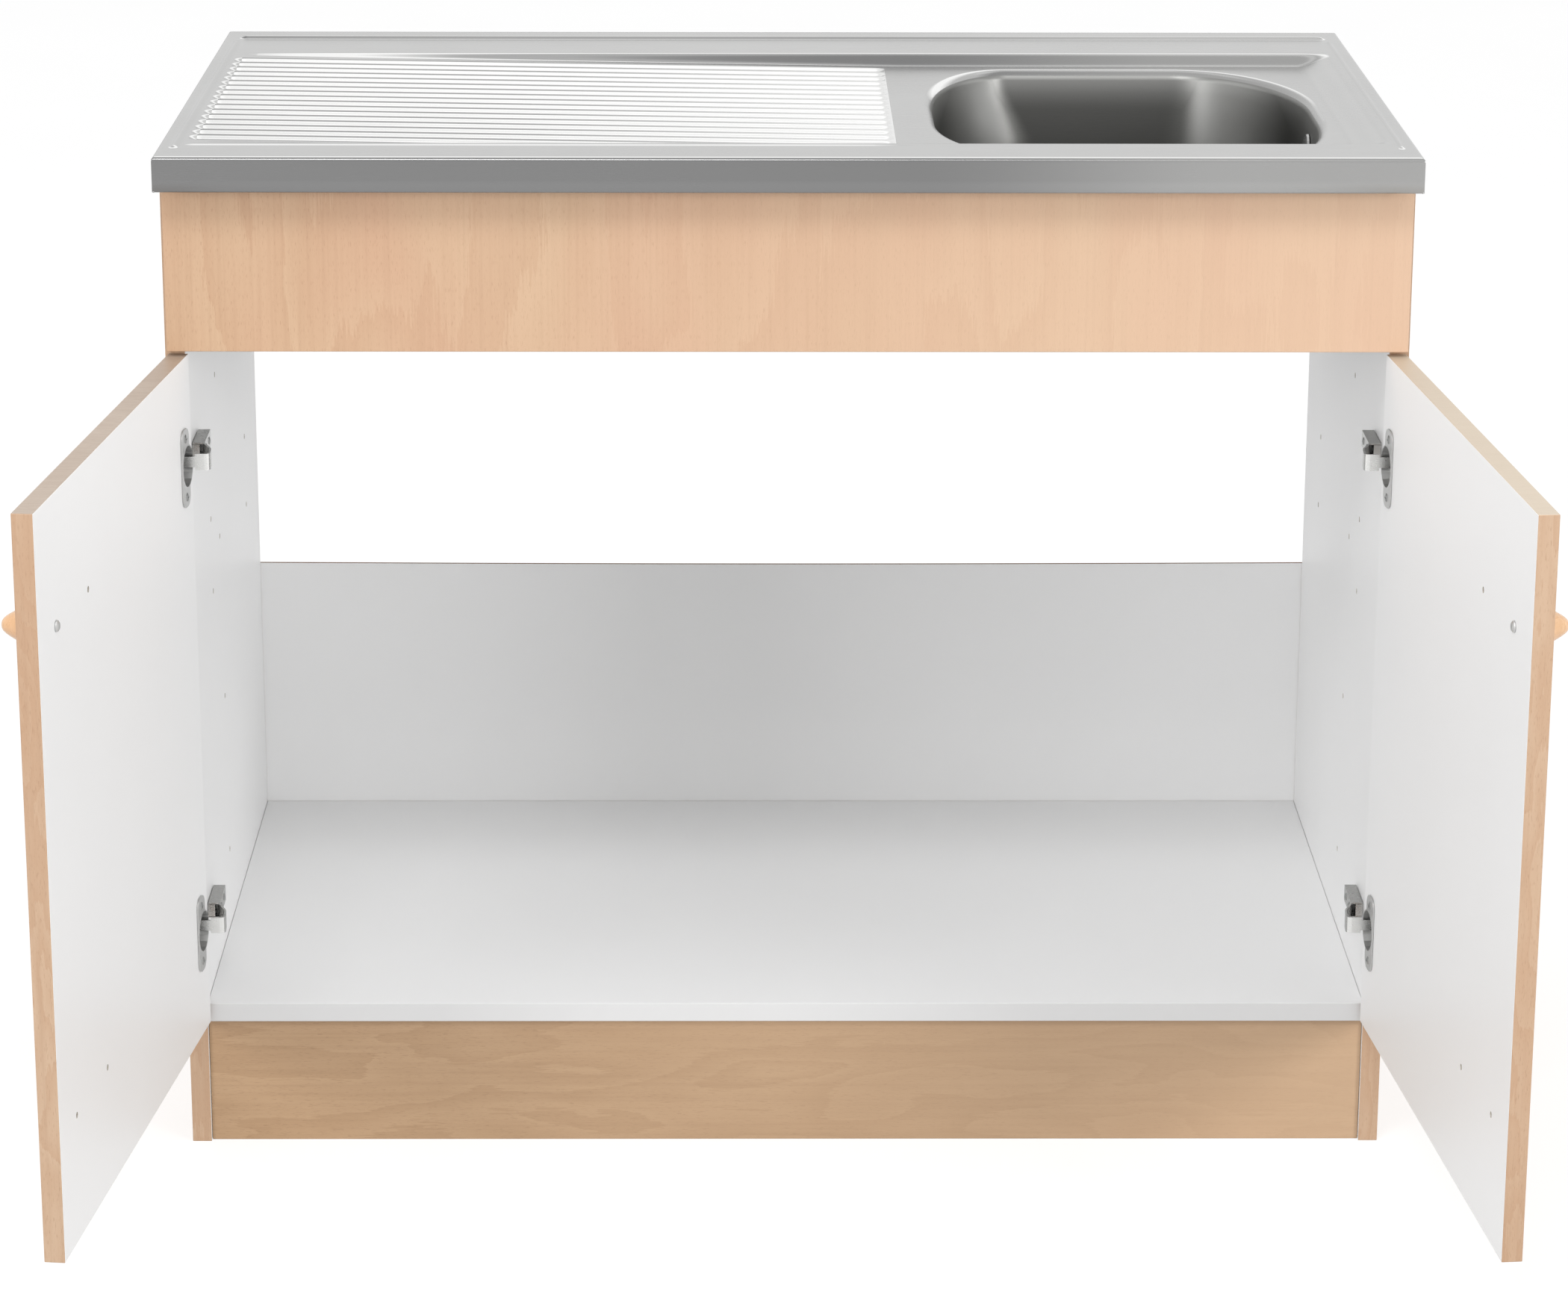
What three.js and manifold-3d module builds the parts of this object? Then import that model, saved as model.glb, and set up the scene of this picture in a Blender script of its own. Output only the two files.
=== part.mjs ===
// A free-standing kitchen sink unit: a board cabinet with two hinged doors, under a pressed
// stainless steel sink top with a ribbed drainer on the left and one deep bowl on the right.
//
// Millimetres, +Z up, front towards -Y, and +X to the right when seen from the front.
// The origin is on the floor, under the middle of the plinth board.

import * as THREE from 'three';
import Module from 'manifold-3d';
import { mergeVertices } from 'three/addons/utils/BufferGeometryUtils.js';

const wasm = await Module();
wasm.setup();

// ---------------------------------------------------------------- driving dimensions

const SEAT_GAP = 0.3; // between two pieces that rest on each other

// the whole unit
const UNIT_WIDTH = 1000;
const WORKING_HEIGHT = 850; // floor to the top of the sink
const SINK_DEPTH = 600;
const SINK_OVERHANG = 48; // in front of the cabinet's front edges
const SINK_REAR_OVERHANG = 19; // behind the cabinet's rear edges

// cabinet
const BOARD = 16;
const CARCASS_DEPTH = SINK_DEPTH - SINK_OVERHANG - SINK_REAR_OVERHANG;
const PLINTH_HEIGHT = 108;
const PLINTH_SETBACK = 4;
const BACK_THICKNESS = 3;
const BACK_HEIGHT = 249; // a half-height back leaves room for the pipes
const REAR_RAIL_HEIGHT = 100;
const FASCIA_HEIGHT = 135;
const FASCIA_SIDE_REVEAL = 3;

// doors
const DOOR_SIDE_REVEAL = 2;
const DOOR_MIDDLE_GAP = 4;
const DOOR_TOP_GAP = 4;
const DOOR_BOTTOM_Z = 110;
const DOOR_STANDOFF = 3; // door's inner face to the cabinet's front edges, door closed
const LEFT_DOOR_OPEN = 96.4; // degrees, as the door stands at rest
const RIGHT_DOOR_OPEN = 95.1; // degrees, as the door stands at rest
const KNOB_FROM_FREE_EDGE = 51;
const KNOB_FROM_TOP = 97;
const HANDLE_HOLE_SPACING = 96;
const PILOT_HOLE_RADIUS = 2.5;
const PILOT_HOLE_DEPTH = 8;

// knob and its screw
const KNOB_RADIUS = 14;
const KNOB_HEIGHT = 24;
const KNOB_WIDEST_AT = 6; // above the door's face
const KNOB_NECK_RADIUS = 8.5;
const KNOB_NECK_HEIGHT = 3;
const SCREW_RADIUS = 2;
const SCREW_BITE = 13; // how far the screw reaches into the knob
const SCREW_HEAD_RADIUS = 4.5;
const SCREW_HEAD_HEIGHT = 2.4;

// cup hinge: one pin in a round cup let into the door, and a cranked arm to the side panel
const HINGE_FROM_DOOR_END = 88;
const CUP_RADIUS = 17.5;
const CUP_SIDES = 18;
const CUP_WALL = 0.7;
const CUP_FLOOR = 0.8;
const CUP_INNER_DEPTH = 11.8;
const CUP_CENTRE_FROM_EDGE = 20.5;
const CUP_RIM_WIDTH = 0.5;
const CUP_PLATE_LENGTH = 64;
const CUP_PLATE_WIDTH = 24;
const CUP_PLATE_CORNER = 9;
const CUP_PLATE_THICKNESS = 1.2;
const CUP_SCREW_SPACING = 48;
const CUP_SCREW_OFFSET = 6; // past the cup's middle, away from the hinge edge
const CUP_SCREW_RADIUS = 2.2;
const PIN_RADIUS = 1.5;
const PIN_LENGTH = 15.2;
const PIN_DEPTH = 9; // below the door's inner face
const PIN_CLEARANCE = 0.08;
const EYE_RADIUS = 2.4;
const EYE_HEIGHT = 9;
const LUG_HEIGHT = 3;
const LUG_HALF_WIDTH = 2.6;
const ARM_HEIGHT = 13.5;
const ARM_THICKNESS = 1.6;
const ARM_REACH = 24.5; // from the pin to the arm's bend
const ARM_NECK_LENGTH = 13; // from the pin, as narrow as the eye
const ARM_BEND_RADIUS = 4;
const ARM_LENGTH = 69; // behind the cabinet's front edge
const ARM_RAIL_HEIGHT = 9.6; // the arm's back above the side panel
const ARM_LIP_THICKNESS = 1.2;
const PLATE_LENGTH = 42;
const PLATE_FRONT = 24; // behind the cabinet's front edge
const PLATE_HEIGHT = 6;
const PLATE_SCREW_SPACING = 28;
const PLATE_SCREW_RADIUS = 2.4;

// fascia brackets
const BRACKET_LEG = 28;
const BRACKET_HEIGHT = 40;
const BRACKET_THICKNESS = 2;
const BRACKET_HOLE_RADIUS = 2.2;

// sink top
const RIM_HEIGHT = 28;
const SHEET = 1;
const RIM_FLANGE = 14; // folded in under the rim
const RIM_EDGE_RADIUS = 2.5;
const FIELD_DEPTH = 8.7; // the sunk field, at its deep end round the bowl
const FIELD_FRONT_TOP = 62; // from the sink's front edge
const FIELD_FRONT_FOOT = 74;
const FIELD_REAR = 485;
const FIELD_REAR_RUN = 16;
const FIELD_LEFT = -482; // it starts here with no depth, and falls evenly
const FIELD_DEEP_FROM = 98;
const FIELD_RIGHT = 482;
const FIELD_RIGHT_RUN = 32;
const GROOVE_COUNT = 17;
const GROOVE_PITCH = 22.6;
const GROOVE_DEPTH = 2.6;
const GROOVES_FRONT = 76;
const GROOVES_LEFT = -481;
const GROOVES_RIGHT = 88;
const GROOVE_END_RUN = 8;
const GROOVE_LIFT = 0.4; // the groove cutter's rim above the sheet, for a clean cut
const BEAD_WIDTH = 14; // the bead along the rear edge
const BEAD_HEIGHT = 2;
const BEAD_FROM_REAR = 36;
const BEAD_SIDE_INSET = 12;
const SIDE_BEAD_WIDTH = 9;
const SIDE_BEAD_HEIGHT = 0.8;
const SIDE_BEAD_INSET = 13;
const SIDE_BEAD_FRONT = 39;
const SIDE_BEAD_END_RUN = 5;

// bowl
const BOWL_WIDTH = 334;
const BOWL_FRONT = 75; // from the sink's front edge
const BOWL_REAR = 454;
const BOWL_CENTRE_X = 281;
const BOWL_FRONT_CORNER = { left: [62, 145], right: [50, 145] }; // across and along
const BOWL_REAR_CORNER = { left: [75, 175], right: [110, 178] };
const BOWL_LIP_RADIUS = 9;
const BOWL_DEPTH = 150;
const BOWL_DRAFT = 10;
const BOWL_FLOOR_RADIUS = 42;
const BOWL_FLOOR_FALL = 3;
const BOWL_SEAM = 0.3;

// waste and overflow
const WASTE_SIDES = 20;
const WASTE_HOLE_RADIUS = 26;
const WASTE_FLANGE_RADIUS = 35;
const WASTE_FLANGE_THICKNESS = 1.6;
const WASTE_SEAT_RADIUS = 40;
const WASTE_SEAT_RISE = 0.5;
const STRAINER_HOLE_RADIUS = 3;
const WASTE_BODY_RADIUS = 33;
const WASTE_BODY_HEIGHT = 16;
const WASTE_GASKET_HEIGHT = 3;
const WASTE_TAIL_RADIUS = 20;
const WASTE_TAIL_LENGTH = 24;
const WASTE_WALL = 2.5;
const OVERFLOW_BELOW_RIM = 38;
const OVERFLOW_HOLE_RADIUS = 12;
const OVERFLOW_FORWARD = 12; // in front of the bowl's middle
const OVERFLOW_ROSETTE_RADIUS = 19;
const OVERFLOW_ROSETTE_THICKNESS = 2.4;
const OVERFLOW_SOCKET_LENGTH = 18;
const OVERFLOW_TAIL_RADIUS = 9;
const OVERFLOW_TAIL_LENGTH = 26;
const OVERFLOW_WALL = 2;

// ---------------------------------------------------------------- derived places

const HALF_WIDTH = UNIT_WIDTH / 2;
const FRONT_Y = -(PLINTH_SETBACK + BOARD / 2); // the cabinet's front edges
const REAR_Y = FRONT_Y + CARCASS_DEPTH;
const SINK_FRONT_Y = FRONT_Y - SINK_OVERHANG;
const RIM_BOTTOM_Z = WORKING_HEIGHT - RIM_HEIGHT;
const CARCASS_HEIGHT = RIM_BOTTOM_Z - SEAT_GAP;
const INNER_HALF = HALF_WIDTH - BOARD;
const FLOOR_TOP_Z = PLINTH_HEIGHT + BOARD;
const FASCIA_BOTTOM_Z = CARCASS_HEIGHT - FASCIA_HEIGHT;
const DOOR_WIDTH = HALF_WIDTH - DOOR_SIDE_REVEAL - DOOR_MIDDLE_GAP / 2;
const DOOR_TOP_Z = FASCIA_BOTTOM_Z - DOOR_TOP_GAP;
const KNOB_Z = DOOR_TOP_Z - KNOB_FROM_TOP;
const HINGE_HEIGHTS = {
  lower: DOOR_BOTTOM_Z + HINGE_FROM_DOOR_END,
  upper: DOOR_TOP_Z - HINGE_FROM_DOOR_END,
};

// The closed door's inner corner turns about the pin. This distance from the door's edge
// lets that corner pass the cabinet's front edge with SEAT_GAP to spare.
const CORNER_ROOM = DOOR_STANDOFF - SEAT_GAP;
const PIN_FROM_EDGE = Math.sqrt(CORNER_ROOM * (2 * PIN_DEPTH + CORNER_ROOM));
const PIN_IN = DOOR_SIDE_REVEAL + PIN_FROM_EDGE; // from the cabinet's outer face
const PIN_OUT = DOOR_STANDOFF + PIN_DEPTH; // in front of the cabinet's front edges

// ---------------------------------------------------------------- helpers

const material = (color, roughness, metalness) =>
  new THREE.MeshStandardMaterial({ color, roughness, metalness, flatShading: true });

function solid(geometry) {
  const bare = geometry.clone();
  bare.deleteAttribute('normal');
  bare.deleteAttribute('uv');
  const merged = mergeVertices(bare, 1e-4);
  const vertProperties = new Float32Array(merged.attributes.position.array);
  const triVerts = new Uint32Array(merged.index.array);
  return new wasm.Manifold(new wasm.Mesh({ numProp: 3, vertProperties, triVerts }));
}

function geometryOf(body) {
  const mesh = body.getMesh();
  const geometry = new THREE.BufferGeometry();
  geometry.setAttribute('position', new THREE.BufferAttribute(mesh.vertProperties, 3));
  geometry.setIndex(new THREE.BufferAttribute(mesh.triVerts, 1));
  return geometry;
}

// Joins the first list of geometries and cuts the second from the result.
function carve(joined, cuts) {
  const whole = joined.map(solid).reduce((a, b) => a.add(b));
  return geometryOf(cuts.map(solid).reduce((a, b) => a.subtract(b), whole));
}

function box(x0, x1, y0, y1, z0, z1) {
  const geometry = new THREE.BoxGeometry(x1 - x0, y1 - y0, z1 - z0);
  return geometry.translate((x0 + x1) / 2, (y0 + y1) / 2, (z0 + z1) / 2);
}

// A cylinder from one end to the other along x, y or z.
function rod(axis, radius, from, to, across, sides = 16) {
  const geometry = new THREE.CylinderGeometry(radius, radius, to - from, sides);
  const middle = (from + to) / 2;
  if (axis === 'x') return geometry.rotateZ(Math.PI / 2).translate(middle, across[0], across[1]);
  if (axis === 'y') return geometry.translate(across[0], middle, across[1]);
  return geometry.rotateX(Math.PI / 2).translate(across[0], across[1], middle);
}

// The same piece for the other side of the unit.
function mirrored(geometry) {
  const twin = geometry.index ? geometry.toNonIndexed() : geometry.clone();
  const position = twin.attributes.position;
  for (let i = 0; i < position.count; i += 3) {
    const [a, b, c] = [0, 1, 2].map((k) => new THREE.Vector3().fromBufferAttribute(position, i + k));
    [a, c, b].forEach((p, k) => position.setXYZ(i + k, -p.x, p.y, p.z));
  }
  twin.deleteAttribute('normal');
  twin.deleteAttribute('uv');
  return mergeVertices(twin, 1e-4);
}

const onSide = (geometry, side) => (side > 0 ? mirrored(geometry) : geometry);

function rise(t) {
  const s = Math.min(Math.max(t, 0), 1);
  return s * s * (3 - 2 * s);
}

const unit = new THREE.Group();

function place(name, geometry, finish, parent = unit) {
  const mesh = new THREE.Mesh(geometry, finish);
  mesh.name = name;
  parent.add(mesh);
  return mesh;
}

const sides = [
  { name: 'left', sign: -1, open: LEFT_DOOR_OPEN },
  { name: 'right', sign: 1, open: RIGHT_DOOR_OPEN },
];

// ---------------------------------------------------------------- cabinet boards

const beech = material(0xd3a67c, 0.5, 0);
const whiteBoard = material(0xe4e4e2, 0.55, 0);
const hardboard = material(0xdadad6, 0.7, 0);

// Blind pilot holes in each side panel: [behind the front edge, height].
const SIDE_PILOT_HOLES = [
  [143, 505], [143, 442], [426, 505], [426, 442],
  [205, 615], [205, 473], [205, 330], [205, 190],
];

function sidePanel() {
  const board = box(-HALF_WIDTH, -INNER_HALF, FRONT_Y, REAR_Y, 0, CARCASS_HEIGHT);
  const holes = SIDE_PILOT_HOLES.map(([back, z]) =>
    rod('x', PILOT_HOLE_RADIUS, -INNER_HALF - PILOT_HOLE_DEPTH, -INNER_HALF + 1, [FRONT_Y + back, z], 8));
  return carve([board], holes);
}

function cabinet() {
  const half = INNER_HALF - SEAT_GAP;
  const backHalf = HALF_WIDTH - DOOR_SIDE_REVEAL;
  const backFront = REAR_Y + SEAT_GAP;
  const backBottom = PLINTH_HEIGHT;
  for (const { name, sign } of sides) place(`side_panel_${name}`, onSide(sidePanel(), sign), beech);
  place('bottom_panel', box(-half, half, FRONT_Y, REAR_Y, PLINTH_HEIGHT, FLOOR_TOP_Z), whiteBoard);
  place('plinth_board', box(-half, half, -BOARD / 2, BOARD / 2, 0, PLINTH_HEIGHT - SEAT_GAP), beech);
  place('back_panel', box(-backHalf, backHalf, backFront, backFront + BACK_THICKNESS,
    backBottom, backBottom + BACK_HEIGHT), hardboard);
  place('rear_rail', box(-half, half, REAR_Y - BOARD, REAR_Y,
    CARCASS_HEIGHT - REAR_RAIL_HEIGHT, CARCASS_HEIGHT), whiteBoard);
  const fasciaHalf = HALF_WIDTH - FASCIA_SIDE_REVEAL;
  place('fascia_panel', box(-fasciaHalf, fasciaHalf, FRONT_Y - SEAT_GAP - BOARD,
    FRONT_Y - SEAT_GAP, FASCIA_BOTTOM_Z, CARCASS_HEIGHT), beech);
}

// An angle bracket in the corner between the fascia and a side panel.
function fasciaBracket() {
  const x0 = -INNER_HALF + SEAT_GAP;
  const y0 = FRONT_Y;
  const z0 = FASCIA_BOTTOM_Z + (FASCIA_HEIGHT - BRACKET_HEIGHT) / 2;
  const z1 = z0 + BRACKET_HEIGHT;
  const zHole = (z0 + z1) / 2;
  const hole = BRACKET_LEG * 0.6;
  return carve([
    box(x0, x0 + BRACKET_THICKNESS, y0, y0 + BRACKET_LEG, z0, z1),
    box(x0, x0 + BRACKET_LEG, y0, y0 + BRACKET_THICKNESS, z0, z1),
  ], [
    rod('x', BRACKET_HOLE_RADIUS, x0 - 1, x0 + BRACKET_THICKNESS + 1, [y0 + hole, zHole], 12),
    rod('y', BRACKET_HOLE_RADIUS, y0 - 1, y0 + BRACKET_THICKNESS + 1, [x0 + hole, zHole], 12),
  ]);
}

// ---------------------------------------------------------------- doors

// A door's pieces are drawn closed, for the left door, from the hinge pin:
// x to the free edge and y to the cabinet. These turn the door's own measures into those.
const across = (fromHingeEdge) => fromHingeEdge - PIN_FROM_EDGE;
const inward = (belowInnerFace) => PIN_DEPTH - belowInnerFace;
const KNOB_ACROSS = across(DOOR_WIDTH - KNOB_FROM_FREE_EDGE);
const CUP_ACROSS = across(CUP_CENTRE_FROM_EDGE);
const CUP_BOTTOM = CUP_INNER_DEPTH + CUP_FLOOR;

function doorPanel() {
  const board = box(across(0), across(DOOR_WIDTH), inward(BOARD), inward(0), DOOR_BOTTOM_Z, DOOR_TOP_Z);
  const pockets = Object.values(HINGE_HEIGHTS).map((z) =>
    rod('y', CUP_RADIUS + SEAT_GAP, inward(CUP_BOTTOM + SEAT_GAP), inward(-1), [CUP_ACROSS, z], CUP_SIDES));
  const screwHole = rod('y', SCREW_RADIUS + SEAT_GAP, inward(BOARD + 1), inward(-1),
    [KNOB_ACROSS, KNOB_Z], 12);
  const mirrorZ = DOOR_BOTTOM_Z + DOOR_TOP_Z - KNOB_Z;
  const pilots = [
    [KNOB_ACROSS - HANDLE_HOLE_SPACING, KNOB_Z],
    [KNOB_ACROSS - HANDLE_HOLE_SPACING, mirrorZ],
    [KNOB_ACROSS, mirrorZ],
  ].map(([x, z]) => rod('y', PILOT_HOLE_RADIUS, inward(PILOT_HOLE_DEPTH), inward(-1), [x, z], 10));
  return carve([board], [...pockets, screwHole, ...pilots]);
}

// A turned beech knob: a foot, a waisted neck and a wide domed head.
function knob() {
  const profile = new THREE.Path();
  profile.moveTo(0, 0);
  profile.lineTo(KNOB_NECK_RADIUS, 0);
  profile.lineTo(KNOB_NECK_RADIUS, KNOB_NECK_HEIGHT);
  profile.quadraticCurveTo(KNOB_RADIUS, KNOB_NECK_HEIGHT + 1, KNOB_RADIUS, KNOB_WIDEST_AT);
  profile.bezierCurveTo(KNOB_RADIUS * 0.9, KNOB_HEIGHT * 0.44, KNOB_RADIUS / 2, KNOB_HEIGHT * 0.98,
    0, KNOB_HEIGHT);
  const points = profile.getPoints(5);
  points[points.length - 1].x = 0;
  const turned = new THREE.LatheGeometry(points, 18);
  turned.rotateX(Math.PI); // the lathe's axis points out of the door's face
  const outerFace = inward(BOARD + SEAT_GAP);
  turned.translate(KNOB_ACROSS, outerFace, KNOB_Z);
  const bore = rod('y', SCREW_RADIUS + SEAT_GAP, outerFace - SCREW_BITE - 1, outerFace + 1,
    [KNOB_ACROSS, KNOB_Z], 12);
  return carve([turned], [bore]);
}

function knobScrew() {
  const face = inward(-SEAT_GAP);
  const shank = rod('y', SCREW_RADIUS, inward(BOARD + SEAT_GAP) - SCREW_BITE, face + 1,
    [KNOB_ACROSS, KNOB_Z], 12);
  const head = new THREE.LatheGeometry([
    new THREE.Vector2(0, 0),
    new THREE.Vector2(SCREW_HEAD_RADIUS, 0),
    new THREE.Vector2(SCREW_HEAD_RADIUS * 0.92, SCREW_HEAD_HEIGHT * 0.5),
    new THREE.Vector2(SCREW_HEAD_RADIUS * 0.6, SCREW_HEAD_HEIGHT * 0.9),
    new THREE.Vector2(0, SCREW_HEAD_HEIGHT),
  ], 20);
  head.translate(KNOB_ACROSS, face, KNOB_Z);
  return carve([head, shank], []);
}

// ---------------------------------------------------------------- cup hinges

// A flat outline with four round corners, about its own middle.
function roundedOblong(width, length, radius) {
  const x = width / 2 - radius;
  const y = length / 2 - radius;
  const outline = new THREE.Shape();
  outline.absarc(x, y, radius, 0, Math.PI / 2, false);
  outline.absarc(-x, y, radius, Math.PI / 2, Math.PI, false);
  outline.absarc(-x, -y, radius, Math.PI, Math.PI * 1.5, false);
  outline.absarc(x, -y, radius, Math.PI * 1.5, Math.PI * 2, false);
  return outline;
}

// The pressed cup, its screw plate on the door's inner face and the two lugs for the pin.
function hingeCup(z) {
  const innerRadius = CUP_RADIUS - CUP_WALL;
  const face = inward(-SEAT_GAP);
  const plateTop = face + CUP_PLATE_THICKNESS;
  const shell = new THREE.LatheGeometry([
    new THREE.Vector2(0, inward(CUP_BOTTOM)),
    new THREE.Vector2(CUP_RADIUS, inward(CUP_BOTTOM)),
    new THREE.Vector2(CUP_RADIUS, face),
    new THREE.Vector2(CUP_RADIUS + CUP_RIM_WIDTH, face),
    new THREE.Vector2(CUP_RADIUS + CUP_RIM_WIDTH, plateTop),
    new THREE.Vector2(innerRadius, plateTop),
    new THREE.Vector2(innerRadius, inward(CUP_INNER_DEPTH)),
    new THREE.Vector2(0, inward(CUP_INNER_DEPTH)),
  ], CUP_SIDES);
  shell.translate(CUP_ACROSS, 0, z);

  // The plate sits off the cup's middle, so that its long straight edge meets the cup's rim.
  const plate = new THREE.ExtrudeGeometry(roundedOblong(CUP_PLATE_WIDTH, CUP_PLATE_LENGTH, CUP_PLATE_CORNER),
    { depth: CUP_PLATE_THICKNESS, bevelEnabled: false, curveSegments: 4 });
  const screwsAcross = CUP_ACROSS + CUP_SCREW_OFFSET;
  plate.rotateX(Math.PI / 2).translate(screwsAcross, plateTop, z);

  const mouth = rod('y', innerRadius, inward(CUP_INNER_DEPTH), plateTop + 1, [CUP_ACROSS, z], CUP_SIDES);
  const screwHoles = [-1, 1].map((end) =>
    rod('y', CUP_SCREW_RADIUS, face - 1, plateTop + 1, [screwsAcross, z + end * CUP_SCREW_SPACING / 2], 12));
  const open = carve([shell, plate], [mouth, ...screwHoles]);

  const lugStart = EYE_HEIGHT / 2 + SEAT_GAP;
  const lugs = [-1, 1].map((end) => {
    const near = end * lugStart;
    const far = end * (lugStart + LUG_HEIGHT);
    return box(-LUG_HALF_WIDTH, LUG_HALF_WIDTH, inward(CUP_INNER_DEPTH + CUP_FLOOR / 2), LUG_HALF_WIDTH,
      z + Math.min(near, far), z + Math.max(near, far));
  });
  const pinHole = rod('z', PIN_RADIUS + PIN_CLEARANCE, z - CUP_RADIUS / 2, z + CUP_RADIUS / 2, [0, 0], 12);
  return carve([open, ...lugs], [pinHole]);
}

const hingePin = (z) => rod('z', PIN_RADIUS, z - PIN_LENGTH / 2, z + PIN_LENGTH / 2, [0, 0], 12);

// The plan outline of a bent strip: a centre line with rounded corners, and its thickness.
function stripOutline(corners, thickness, radius) {
  const centre = [corners[0].clone()];
  for (let i = 1; i < corners.length - 1; i += 1) {
    const before = corners[i - 1].clone().sub(corners[i]).normalize();
    const after = corners[i + 1].clone().sub(corners[i]).normalize();
    const start = corners[i].clone().addScaledVector(before, radius);
    const end = corners[i].clone().addScaledVector(after, radius);
    const bend = new THREE.QuadraticBezierCurve(start, corners[i], end);
    centre.push(...bend.getPoints(4));
  }
  centre.push(corners[corners.length - 1].clone());
  const edge = (side) => centre.map((point, i) => {
    const ahead = centre[Math.min(i + 1, centre.length - 1)];
    const behind = centre[Math.max(i - 1, 0)];
    const along = ahead.clone().sub(behind).normalize();
    return new THREE.Vector2(point.x - along.y * side, point.y + along.x * side);
  });
  return new THREE.Shape([...edge(thickness / 2), ...edge(-thickness / 2).reverse()]);
}

// A point in plan: inward from the cabinet's left face and forward from its front edges.
const plan = (inFromSide, forward) => new THREE.Vector2(inFromSide - HALF_WIDTH, FRONT_Y - forward);
const RAIL_IN = BOARD + ARM_RAIL_HEIGHT;

function hingeArm(z) {
  const bendIn = PIN_IN + ARM_REACH;
  const outline = stripOutline([
    plan(PIN_IN, PIN_OUT),
    plan(bendIn, PIN_OUT),
    plan(bendIn - 1, -PIN_OUT / 2),
    plan(RAIL_IN, -PLATE_FRONT),
    plan(RAIL_IN, -ARM_LENGTH),
  ], ARM_THICKNESS, ARM_BEND_RADIUS);
  const strip = new THREE.ExtrudeGeometry(outline, { depth: ARM_HEIGHT, bevelEnabled: false });
  strip.translate(0, 0, z - ARM_HEIGHT / 2);

  const pinAt = plan(PIN_IN, PIN_OUT);
  const eye = rod('z', EYE_RADIUS, z - EYE_HEIGHT / 2, z + EYE_HEIGHT / 2, [pinAt.x, pinAt.y], 12);
  const bore = rod('z', PIN_RADIUS + PIN_CLEARANCE, z - ARM_HEIGHT, z + ARM_HEIGHT, [pinAt.x, pinAt.y], 12);
  const lips = [-1, 1].map((end) => {
    const outer = end * ARM_HEIGHT / 2;
    const inner = end * (ARM_HEIGHT / 2 - ARM_LIP_THICKNESS);
    return box(-INNER_HALF + 2 * SEAT_GAP, -HALF_WIDTH + RAIL_IN, FRONT_Y + PLATE_FRONT, FRONT_Y + ARM_LENGTH,
      z + Math.min(outer, inner), z + Math.max(outer, inner));
  });
  // The strip's neck is as narrow as the eye: it turns between the lugs, and clears the
  // cup's rim when the door is wide open.
  const narrowTo = pinAt.x + ARM_NECK_LENGTH;
  const shoulders = [-1, 1].map((end) => {
    const near = end * EYE_HEIGHT / 2;
    const far = end * ARM_HEIGHT;
    return box(pinAt.x - 2 * EYE_RADIUS, narrowTo, pinAt.y - EYE_RADIUS, pinAt.y + EYE_RADIUS,
      z + Math.min(near, far), z + Math.max(near, far));
  });
  return carve([strip, eye, ...lips], [bore, ...shoulders]);
}

// The plate on the side panel that the arm's rail clips over.
function mountingPlate(z) {
  const x0 = -INNER_HALF + SEAT_GAP;
  const y0 = FRONT_Y + PLATE_FRONT;
  const half = ARM_HEIGHT / 2 - ARM_LIP_THICKNESS - SEAT_GAP;
  const middle = y0 + PLATE_LENGTH / 2;
  const holes = [-1, 1].map((end) => rod('x', PLATE_SCREW_RADIUS, x0 - 1, x0 + PLATE_HEIGHT + 1,
    [middle + end * PLATE_SCREW_SPACING / 2, z], 12));
  return carve([box(x0, x0 + PLATE_HEIGHT, y0, y0 + PLATE_LENGTH, z - half, z + half)], holes);
}

const nickel = material(0xb8b9ba, 0.3, 1);
const turnedBeech = material(0xd9ab7e, 0.4, 0);

function doorsAndHinges() {
  for (const { name, sign, open } of sides) {
    const door = new THREE.Group();
    door.position.set(sign * (HALF_WIDTH - PIN_IN), FRONT_Y - PIN_OUT, 0);
    door.rotation.z = THREE.MathUtils.degToRad(sign * open);
    unit.add(door);
    place(`door_${name}`, onSide(doorPanel(), sign), beech, door);
    place(`knob_${name}`, onSide(knob(), sign), turnedBeech, door);
    place(`knob_screw_${name}`, onSide(knobScrew(), sign), nickel, door);
    place(`fascia_bracket_${name}`, onSide(fasciaBracket(), sign), nickel);
    for (const [level, z] of Object.entries(HINGE_HEIGHTS)) {
      place(`hinge_cup_${name}_${level}`, onSide(hingeCup(z), sign), nickel, door);
      place(`hinge_pin_${name}_${level}`, onSide(hingePin(z), sign), nickel, door);
      place(`hinge_arm_${name}_${level}`, onSide(hingeArm(z), sign), nickel);
      place(`hinge_plate_${name}_${level}`, onSide(mountingPlate(z), sign), nickel);
    }
  }
}

// ---------------------------------------------------------------- sink top

const steel = material(0xb4b5b4, 0.32, 1);
const bowlSteel = material(0x8f8f8c, 0.36, 1);

const ramp = (distance, run) => Math.min(Math.max(distance / run, 0), 1);

// Depth of the sunk field below the rim. x is from the middle, y from the sink's front edge.
function fieldDepth(x, y) {
  const fall = Math.min(ramp(x - FIELD_LEFT, FIELD_DEEP_FROM - FIELD_LEFT),
    rise((FIELD_RIGHT - x) / FIELD_RIGHT_RUN));
  const lengthways = Math.min(ramp(y - FIELD_FRONT_TOP, FIELD_FRONT_FOOT - FIELD_FRONT_TOP),
    ramp(FIELD_REAR - y, FIELD_REAR_RUN));
  return FIELD_DEPTH * fall * lengthways;
}

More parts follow.
